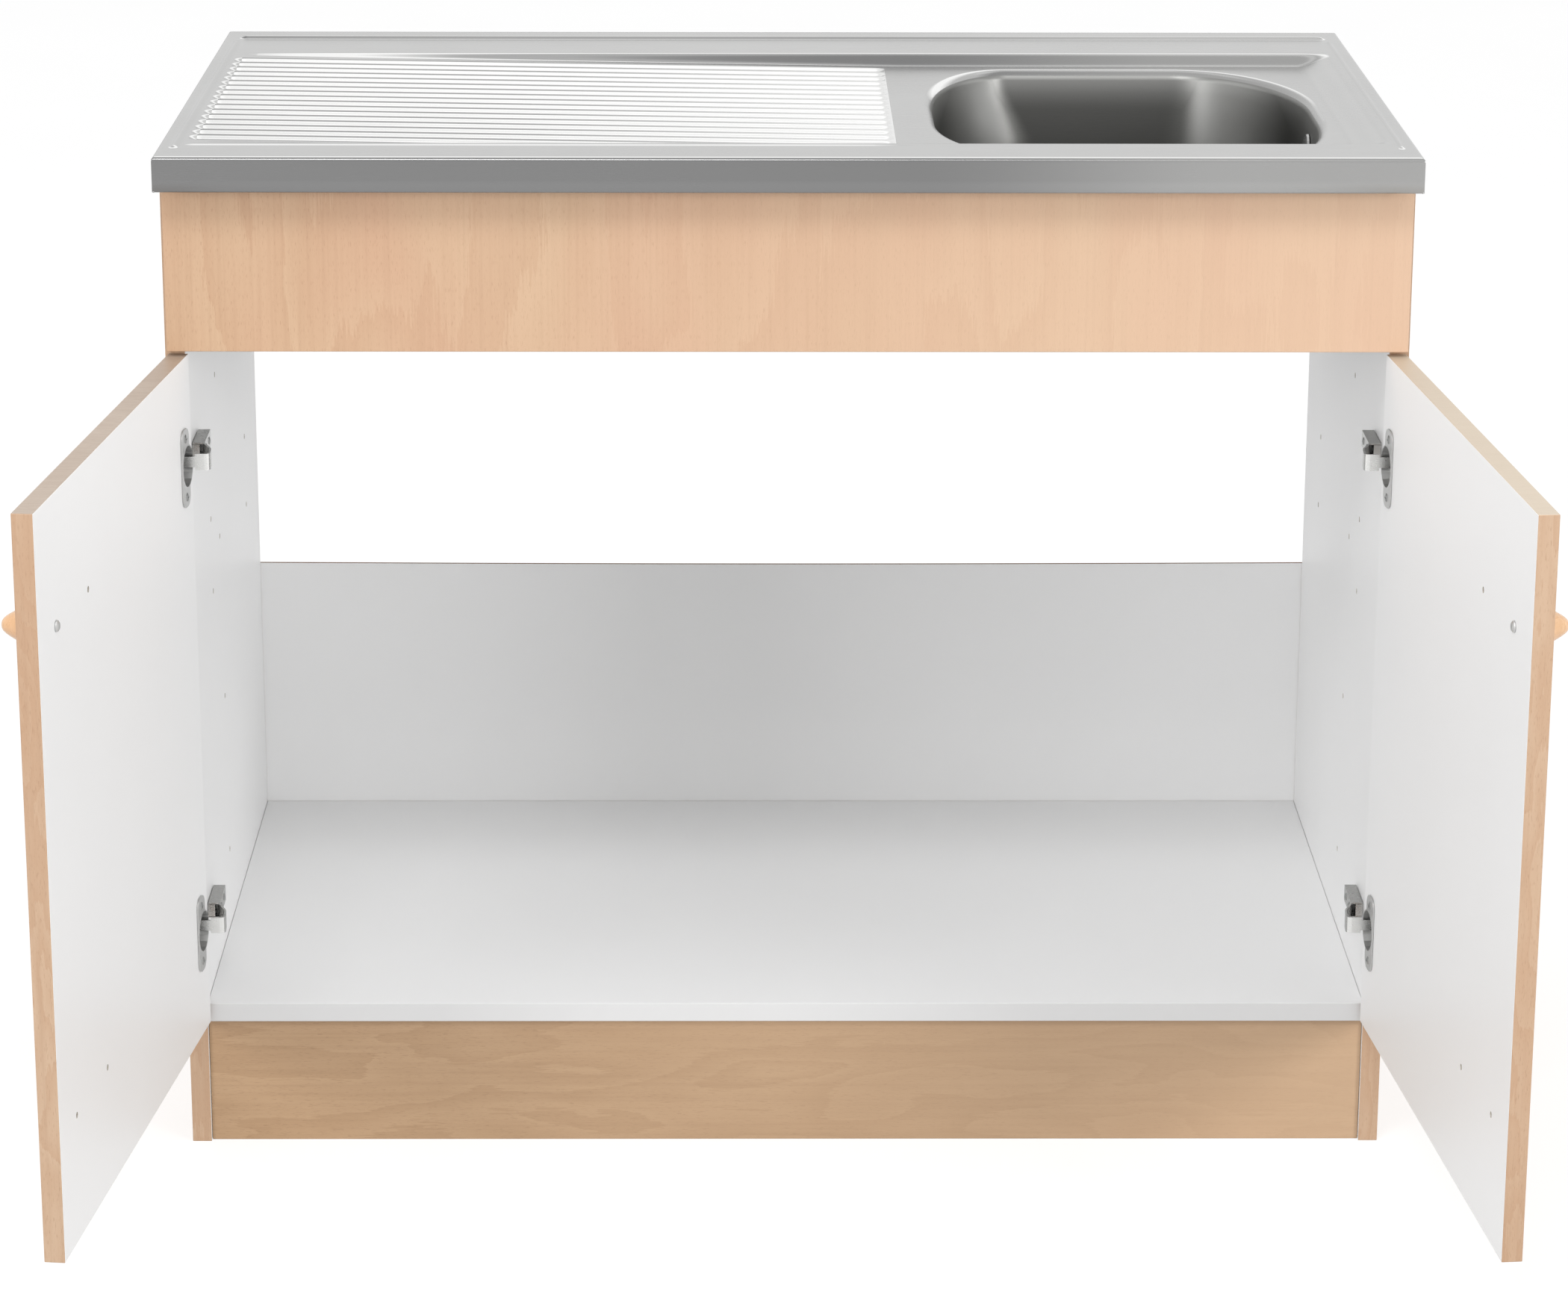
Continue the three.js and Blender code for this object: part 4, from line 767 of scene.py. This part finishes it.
cup_head = screw_head(CUP_HEAD_RADIUS)
arm_head = screw_head(ARM_HEAD_RADIUS)
for side in ("left", "right"):
    screws(f"cup_screws_{side}", f"door_{side}", cup_head, cup_screw_places(side))
screws("arm_screws", "cabinet", arm_head, arm_screw_places())
print("screws:", 2 * len(cup_screw_places("left")) + len(arm_screw_places()))

# %% [markdown]
# ## The pressed steel top
# A sink top is one thin sheet. The press sinks a field that falls to the right, so that water
# runs to the bowl, and presses rounded grooves into it. Its height is worked out as a sum of
# simple forms: a sloping field with soft walls, grooves with round ends, raised beads and a low
# ridge. It could be sculpted as well, but each of these forms can be measured, and changed by one
# number. All lengths here are millimetres, with x from the middle and y from the sink's front edge.

# %% Height of the sheet
TOP_Z, SINK_FRONT, DEPTH, HALF = 850, -60, 600, 500
FIELD_DEPTH, FIELD_FRONT, FIELD_REAR = 8.7, (62, 74), (469, 485)
FIELD_LEFT, FIELD_DEEP, FIELD_RIGHT = -482, 98, (450, 482)
GROOVES, GROOVE_PITCH, GROOVE_DEPTH = 17, 22.6, 2.6
GROOVE_Y, GROOVE_X, GROOVE_END = 76, (-481, 88), 7
GROOVE_FILL, GROOVE_FLANK = 0.93, 0.34
# A low ridge bounds the drainer in front. The beads are a long one behind and two at the sides.
RIDGE_HEIGHT, RIDGE_Y, RIDGE_WIDTH, RIDGE_X, RIDGE_FADES = 0.35, 58, 16, (-484, 110), (12, 60)
REAR_BEAD, REAR_BEAD_Y, REAR_BEAD_WIDTH, REAR_BEAD_STOPS = 2.0, 564, 14, 20
SIDE_BEAD, SIDE_BEAD_X, SIDE_BEAD_WIDTHS, SIDE_BEAD_Y, SIDE_BEAD_FADE = 1.3, 487, (9, 6), (39, 548), 7


def rise(t):
    s = min(max(t, 0), 1)
    return s * s * (3 - 2 * s)


def field_depth(x, y):
    fall = min(max((x - FIELD_LEFT) / (FIELD_DEEP - FIELD_LEFT), 0), 1)
    right = rise((FIELD_RIGHT[1] - x) / (FIELD_RIGHT[1] - FIELD_RIGHT[0]))
    front = rise((y - FIELD_FRONT[0]) / (FIELD_FRONT[1] - FIELD_FRONT[0]))
    rear = rise((FIELD_REAR[1] - y) / (FIELD_REAR[1] - FIELD_REAR[0]))
    return FIELD_DEPTH * min(fall, right) * front * rear


def groove_depth(x, y):
    number = int((y - GROOVE_Y) // GROOVE_PITCH)
    if not 0 <= number < GROOVES:
        return 0
    half = GROOVE_PITCH / 2 * GROOVE_FILL
    middle = GROOVE_Y + (number + 0.5) * GROOVE_PITCH
    along = max(GROOVE_X[0] + half - x, x - GROOVE_X[1] + half, 0)
    away = sqrt((y - middle) ** 2 + along ** 2)
    return GROOVE_DEPTH * rise((half - away) / (GROOVE_PITCH * GROOVE_FLANK))


def bead_height(x, y):
    def bump(away, width):
        return (1 + cos(pi * min(abs(2 * away / width), 1))) / 2

    fade = min(rise((x - RIDGE_X[0]) / RIDGE_FADES[0]), rise((RIDGE_X[1] - x) / RIDGE_FADES[1]))
    ridge = RIDGE_HEIGHT * bump(y - RIDGE_Y, RIDGE_WIDTH) * fade
    end = max(abs(x) - (HALF - REAR_BEAD_STOPS), 0)
    rear = REAR_BEAD * bump(sqrt((y - REAR_BEAD_Y) ** 2 + end ** 2), REAR_BEAD_WIDTH)
    ends = min(rise((y - SIDE_BEAD_Y[0]) / SIDE_BEAD_FADE), rise((SIDE_BEAD_Y[1] - y) / SIDE_BEAD_FADE))
    left = SIDE_BEAD * bump(x + SIDE_BEAD_X, SIDE_BEAD_WIDTHS[0]) * ends
    right = SIDE_BEAD * bump(x - SIDE_BEAD_X, SIDE_BEAD_WIDTHS[1]) * ends
    return rear + left + right + ridge


def sheet_z(x, y):
    return TOP_Z - field_depth(x, y) - groove_depth(x, y) + bead_height(x, y)


print("field depth at the bowl:", round(field_depth(110, 300), 2), "mm")

# %% [markdown]
# ## From heights to a mesh
# An even grid that is fine enough for the beads would be very heavy. So the sheet is laid out on
# lines that stand close together only where it bends. Past its edge the same lines turn down the
# rim and fold in under it. A rectangular window is left open round the bowl, where the field is
# flat, and the bowl's own rings fill it.

# %% The lines of the sheet
# (inset, drop) from the folded-in edge, round the bottom and the top of the rim, to the deck.
RIM = [(15, 28), (1.5, 28), (0.45, 27.55), (0, 26.5), (0, 18), (0, 9), (0, 3.2), (0, 2.5), (0.19, 1.54),
       (0.73, 0.73), (1.54, 0.19), (2.5, 0)]
RIM_ENDS = 2.6
# The outer three strips of faces are the fold and its bend. A fold starts this far from a corner.
BEND_STRIPS, SIDE_FOLD_STARTS, FRONT_FOLD_STARTS = 3, 18, 1.5


def spaced(start, stop, pitch):
    count = max(1, round((stop - start) / pitch))
    return [start + (stop - start) * k / count for k in range(count + 1)]


def lines(inner, low, high):
    """(position, drop) of every line from one folded edge to the other."""
    first = [(low + inset, drop) for inset, drop in RIM]
    last = [(high - inset, drop) for inset, drop in reversed(RIM)]
    kept = sorted({round(v, 3) for v in inner if low + RIM_ENDS < v < high - RIM_ENDS})
    return first + [(v, 0) for v in kept] + last


WINDOW_X, WINDOW_Y = (99, 450), (74, 468)
GROOVES_END_Y = GROOVE_Y + GROOVES * GROOVE_PITCH
# Each run of lines is (from, to, pitch): fine over beads, walls and groove ends, coarse between.
ACROSS_RUNS = [(-495, -480, 0.9), (-480, -462, 1.2), (-462, 68, 44), (68, 90, 1.2), (104, 450, 34),
               (450, 482, 2.5), (482, 495, 1)]
ALONG_RUNS = [(8, 38, 10), (38, 47, 1.5), (50, 62, 2), (62, 74, 1),
              (GROOVE_Y, GROOVES_END_Y, GROOVE_PITCH / 14), (469, 485, 1), (492, 540, 12),
              (540, 550, 2), (555, 573, 0.9), (580, 592, 6)]
across = lines([98, WINDOW_X[0]] + [v for run in ACROSS_RUNS for v in spaced(*run)], -HALF, HALF)
along = lines([464, WINDOW_Y[1]] + [v for run in ALONG_RUNS for v in spaced(*run)], 0, DEPTH)
print(len(across), "by", len(along), "lines")

# %% [markdown]
# ## The bowl
# The bowl's mouth has a different curve in each corner, its walls lean inwards as they go down, and
# its floor falls a little to the waste. In a box with rounded edges all corners would be alike, so
# each ring of points is worked out from its inset and its drop instead.

# %% The bowl's outline and section
# Each corner: the signs of its place, the angle where it starts, and its two radii at the mouth.
BOWL_X, BOWL_Y, BOWL_W, BOWL_L = 281, 264.5, 334, 379
CORNERS = [(1, 1, 0, 110, 178), (-1, 1, 90, 75, 175), (-1, -1, 180, 62, 145), (1, -1, 270, 50, 145)]
CORNER_STEPS = 40
ROUNDER_CORNER, ROUNDED_BY, ROUNDED_SHARE = (118, 132), 60, 0.6
LIP, WALL_IN, WALL_DROP, FLOOR_TURN, BOWL_DEPTH, FLOOR_FALL = 9, 10, 96, 42, 150, 3
# Where the section's rings lie: degrees round either bend, and shares of the wall between them.
BEND_ANGLES, WALL_SHARES = range(0, 85, 7), (0.1, 0.3, 0.5, 0.7, 0.9)
# (radius, height over the waste) of the rings on the bowl's floor, down to the waste's hole.
FLOOR_RINGS = [(70, 1.6), (40, 0.5), (34, 0.3), (26, 0)]
# Each quarter of such a ring keeps this many degrees clear at both ends, so no two points coincide.
QUARTER_GAP = 1


def bowl_ring(inset, drop=0):
    """The corners start as tight as the mouth's, and grow rounder as the wall goes down."""
    shrink_x, shrink_y = 1 - 2 * inset / BOWL_W, 1 - 2 * inset / BOWL_L
    eased = ROUNDED_SHARE * rise((drop - LIP) / ROUNDED_BY)
    ring = []
    for sx, sy, start, mouth_rx, mouth_ry in CORNERS:
        rx = mouth_rx + (ROUNDER_CORNER[0] - mouth_rx) * eased
        ry = mouth_ry + (ROUNDER_CORNER[1] - mouth_ry) * eased
        for k in range(CORNER_STEPS + 1):
            angle = radians(start + 90 * k / CORNER_STEPS)
            x = sx * (BOWL_W / 2 - rx) + rx * cos(angle)
            y = sy * (BOWL_L / 2 - ry) + ry * sin(angle)
            ring.append((BOWL_X + shrink_x * x, BOWL_Y + shrink_y * y))
    return ring


def bowl_section():
    """(inset, drop) from the lip down the leaning wall and round to the floor."""
    lip = [(LIP * sin(radians(a)), LIP * (1 - cos(radians(a)))) for a in BEND_ANGLES]
    wall = [(LIP + WALL_IN * t, LIP + WALL_DROP * t) for t in WALL_SHARES]
    turn = [(LIP + WALL_IN + FLOOR_TURN * (1 - cos(radians(a))),
             BOWL_DEPTH - FLOOR_FALL - FLOOR_TURN * (1 - sin(radians(a)))) for a in BEND_ANGLES]
    return lip + wall + turn


def round_ring(radius):
    """A ring with as many points as the bowl's outline, so that the two can be joined."""
    ring = []
    for corner in range(4):
        for k in range(CORNER_STEPS + 1):
            share = (90 - 2 * QUARTER_GAP) * k / CORNER_STEPS
            angle = radians(90 * corner + QUARTER_GAP + share)
            ring.append((BOWL_X + radius * cos(angle), BOWL_Y + radius * sin(angle)))
    return ring


print("bowl section:", len(bowl_section()), "rings of", len(bowl_ring(0)))

# %% [markdown]
# ## One sheet
# The sheet and the bowl meet in a flat strip round the bowl's lip. A Boolean could cut the opening,
# but it leaves slivers, and triangles between the two loops keep the mesh clean. The thickness
# comes last, from a Solidify modifier, so the steps before it work on one surface only.

# %% Fill the strip between two loops
def bridge(bm, outer, inner):
    """Fills the flat gap between two loops, going round the bowl's middle on both at once."""
    middle = Vector((BOWL_X, SINK_FRONT + BOWL_Y, 0)) * MM

    def turn(v):
        return atan2(v.co.y - middle.y, v.co.x - middle.x) % (2 * pi)

    outer, inner = sorted(outer, key=turn), sorted(inner, key=turn)
    i = j = 0
    while i < len(outer) or j < len(inner):
        a, b = outer[i % len(outer)], inner[j % len(inner)]
        next_a, next_b = outer[(i + 1) % len(outer)], inner[(j + 1) % len(inner)]
        turn_a = turn(next_a) + 2 * pi * ((i + 1) // len(outer))
        turn_b = turn(next_b) + 2 * pi * ((j + 1) // len(inner))
        if j >= len(inner) or (i < len(outer) and turn_a < turn_b):
            bm.faces.new((a, next_a, b))
            i += 1
        else:
            bm.faces.new((a, next_b, b))
            j += 1


def sink_vert(bm, x, y, z):
    return bm.verts.new((x * MM, (SINK_FRONT + y) * MM, z * MM))


print("the strip left of the bowl:", round(BOWL_X - BOWL_W / 2 - WINDOW_X[0], 1), "mm")

# %% Lay the sheet
STEEL, BOWL, DRAINER = range(3)


def cut_from_fold(i, j, middle_x, middle_y):
    """True where a folded edge is cut back near a corner, so that no two of them overlap."""
    column, row = min(i, len(across) - 2 - i), min(j, len(along) - 2 - j)
    if column < BEND_STRIPS and row < BEND_STRIPS:
        return True
    if column == 0:
        return min(middle_y, DEPTH - middle_y) < SIDE_FOLD_STARTS
    return row == 0 and HALF - abs(middle_x) < FRONT_FOLD_STARTS


def in_window(i, j, middle_x, middle_y):
    """True where the sheet is left open for the bowl."""
    open_x = WINDOW_X[0] < middle_x < WINDOW_X[1]
    open_y = WINDOW_Y[0] < middle_y < WINDOW_Y[1]
    return open_x and open_y and across[i][1] == 0 and along[j][1] == 0


def on_drainer(x, y):
    return GROOVE_X[0] + GROOVE_END < x < GROOVE_X[1] and GROOVE_Y < y < GROOVES_END_Y


def lay_sheet(bm):
    grid = []
    for y, drop_y in along:
        row = []
        for x, drop_x in across:
            drop = max(drop_x, drop_y)
            row.append(sink_vert(bm, x, y, TOP_Z - drop if drop else sheet_z(x, y)))
        grid.append(row)
    for j in range(len(along) - 1):
        for i in range(len(across) - 1):
            x = (across[i][0] + across[i + 1][0]) / 2
            y = (along[j][0] + along[j + 1][0]) / 2
            if cut_from_fold(i, j, x, y) or in_window(i, j, x, y):
                continue
            face = bm.faces.new((grid[j][i], grid[j][i + 1], grid[j + 1][i + 1], grid[j + 1][i]))
            face.material_index = DRAINER if on_drainer(x, y) else STEEL
    for vert in [vert for vert in bm.verts if not vert.link_faces]:
        bm.verts.remove(vert)


print("finishes of the top:", STEEL, BOWL, DRAINER)

# %% Hang the bowl in it
# How near the window's edge its points are, in mm, and the last ring with the sheet's own finish.
NEAR, LIP_RINGS = 0.01, 7


def hang_bowl(bm):
    rim_z = TOP_Z - FIELD_DEPTH
    low_y, high_y = (SINK_FRONT + edge for edge in WINDOW_Y)
    border = [v for v in bm.verts if abs(v.co.z / MM - rim_z) < NEAR
              and WINDOW_X[0] - NEAR < v.co.x / MM < WINDOW_X[1] + NEAR
              and low_y - NEAR < v.co.y / MM < high_y + NEAR]
    rings = [[sink_vert(bm, x, y, rim_z - drop) for x, y in bowl_ring(inset, drop)]
             for inset, drop in bowl_section()]
    bridge(bm, border, rings[0])
    floor_z = rim_z - BOWL_DEPTH
    for radius, lift in FLOOR_RINGS:
        rings.append([sink_vert(bm, x, y, floor_z + lift) for x, y in round_ring(radius)])
    count = len(rings[0])
    for k, (upper, lower) in enumerate(zip(rings, rings[1:])):
        for i in range(count):
            j = (i + 1) % count
            face = bm.faces.new((upper[i], upper[j], lower[j], lower[i]))
            # Below the lip the bowl's finish: its own grain, with painted shade and painted highlights.
            face.material_index = BOWL if k > LIP_RINGS else STEEL


print("the bowl's own finish starts below ring", LIP_RINGS)

# %% Clean up and give it a gauge
WELD, SLIVER, SHEET = 0.02 * MM, 0.01 * MM, 0.8 * MM


def sink_top():
    bm = bmesh.new()
    lay_sheet(bm)
    hang_bowl(bm)
    bmesh.ops.remove_doubles(bm, verts=bm.verts, dist=WELD)
    bmesh.ops.dissolve_degenerate(bm, edges=bm.edges, dist=SLIVER)
    bmesh.ops.recalc_face_normals(bm, faces=bm.faces)
    top_face = max(bm.faces, key=lambda f: f.calc_center_median().z)
    if top_face.normal.z < 0:
        bmesh.ops.reverse_faces(bm, faces=bm.faces)
    return bm


# The sheet and drainer carry painted reflection, the bowl painted shade and highlights.
sink_finishes = [sheet_steel_painted_reflection, bowl_painted_shade_and_highlight, drainer_painted_reflection]
sink_piece = mesh_object("sink_top_pressing", sink_top(), sink_finishes, smooth=55)
sheet_gauge = sink_piece.modifiers.new("sheet_gauge", "SOLIDIFY")
sheet_gauge.thickness = SHEET
sheet_gauge.offset = -1
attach(sink_piece, "cabinet")
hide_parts("sink_deck", "sink_bowl")
print("sink top:", len(sink_piece.data.polygons), "faces")

# %% [markdown]
# ## Finishes for the pieces that stay
# The hinge parts, brackets, strainer, overflow and waste keep the frame's own shapes, since they are
# small or hidden. Each gets the finish of the real thing by name, and the nickel and sheet steels
# carry painted reflection too.

# %% Finish the frame's own pieces
KEPT = {"hinge_arm": nickel_arm_painted_reflection, "hinge_cup": nickel_cup, "hinge_pin": nickel_cup,
        "hinge_plate": nickel_arm_painted_reflection, "fascia_bracket": zinc_steel, "knob_screw": nickel_cup,
        "waste_strainer": sheet_steel_painted_reflection, "overflow_rosette": sheet_steel_painted_reflection, "waste_gasket": black_rubber,
        "waste_body": white_plastic, "overflow_socket": white_plastic}

for node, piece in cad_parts.items():
    for start, material in KEPT.items():
        if node.startswith(start):
            for place in piece.material_slots:
                place.material = material
print("finished", sum(n.startswith(tuple(KEPT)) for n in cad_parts), "frame pieces")

# %% [markdown]
# ## Floor and room
# The floor is pale and plain, and takes the object's soft shadow. Most of the light comes from a
# white room all round. The camera, and metal, see the room and the floor as white: that is a matter
# of the rays' kind. A brighter room would be white too, but the boards would lose their shading.

# %% Floor
FLOOR_HALF, FLOOR_CLOUDS, FLOOR_GLOW, ROOM_LIGHT = 14, 3.0, 0.64, 0.74


def floor():
    bm = bmesh.new()
    bmesh.ops.create_grid(bm, x_segments=4, y_segments=4, size=FLOOR_HALF)
    material, tree, shader, place = new_material("pale_studio_floor")
    fill(tree, shader, {
        "Base Color": blend(tree, noise(tree, place, FLOOR_CLOUDS, 2.0), "#b2b2b2", "#aeaeae"),
        "Roughness": 0.9,
        "Specular IOR Level": 0.1,
        "Emission Color": paint("#ffffff"),
        "Emission Strength": maths(tree, "MULTIPLY", seen_rays(tree), FLOOR_GLOW),
    })
    mesh_object("studio_floor", bm, [material])


floor()
world = bpy.data.worlds.new("studio_world")
bpy.context.scene.world = world
world.use_nodes = True
room = world.node_tree
fill(room, room.nodes["Background"], {
    "Color": paint("#ffffff"),
    "Strength": ranged(room, seen_rays(room), 0.0, 1.0, ROOM_LIGHT, 1.0),
})
print("room light", ROOM_LIGHT, "and floor glow", FLOOR_GLOW)

# %% [markdown]
# ## Lamps
# Two large soft lamps stand in front, to the right and to the left, and look past the open doors
# into the cabinet. One hangs high in front and lights the cabinet's bottom as far as the fascia
# lets it, and a weak one behind and above adds glints to the drainer's ribs, whose bright streaks
# are mostly painted reflection. A sun lamp would be simpler, but its shadows have hard edges.

# %% Lamps
# Each lamp: where it stands, what it aims at, its width and height in metres, and its watts.
LAMPS = {
    "key_softbox": ((3.4, -3.6, 1.4), (0, 0, 0.5), 1.6, 1.6, 92),
    "fill_softbox": ((-3.1, -3.9, 1.4), (0, 0, 0.5), 1.6, 1.6, 66),
    "high_softbox": ((-0.6, -2.6, 3.6), (0, 0.1, 0.4), 1.6, 1.2, 48),
    "rear_softbox": ((0.3, 1.9, 3.2), (0.1, 0.2, 0.8), 2.2, 0.8, 3),
}


def lamp(name, spot, aim, width, height, watts):
    data = bpy.data.lights.new(name, "AREA")
    data.shape = "RECTANGLE"
    data.size = width
    data.size_y = height
    data.energy = watts
    made = bpy.data.objects.new(name, data)
    bpy.context.collection.objects.link(made)
    made.location = spot
    made.rotation_euler = (Vector(aim) - Vector(spot)).to_track_quat("-Z", "Y").to_euler()
    made.visible_camera = False


for name, (spot, aim, width, height, watts) in LAMPS.items():
    lamp(name, spot, aim, width, height, watts)
bpy.context.scene.view_settings.view_transform = "Standard"
print(len(LAMPS), "lamps")
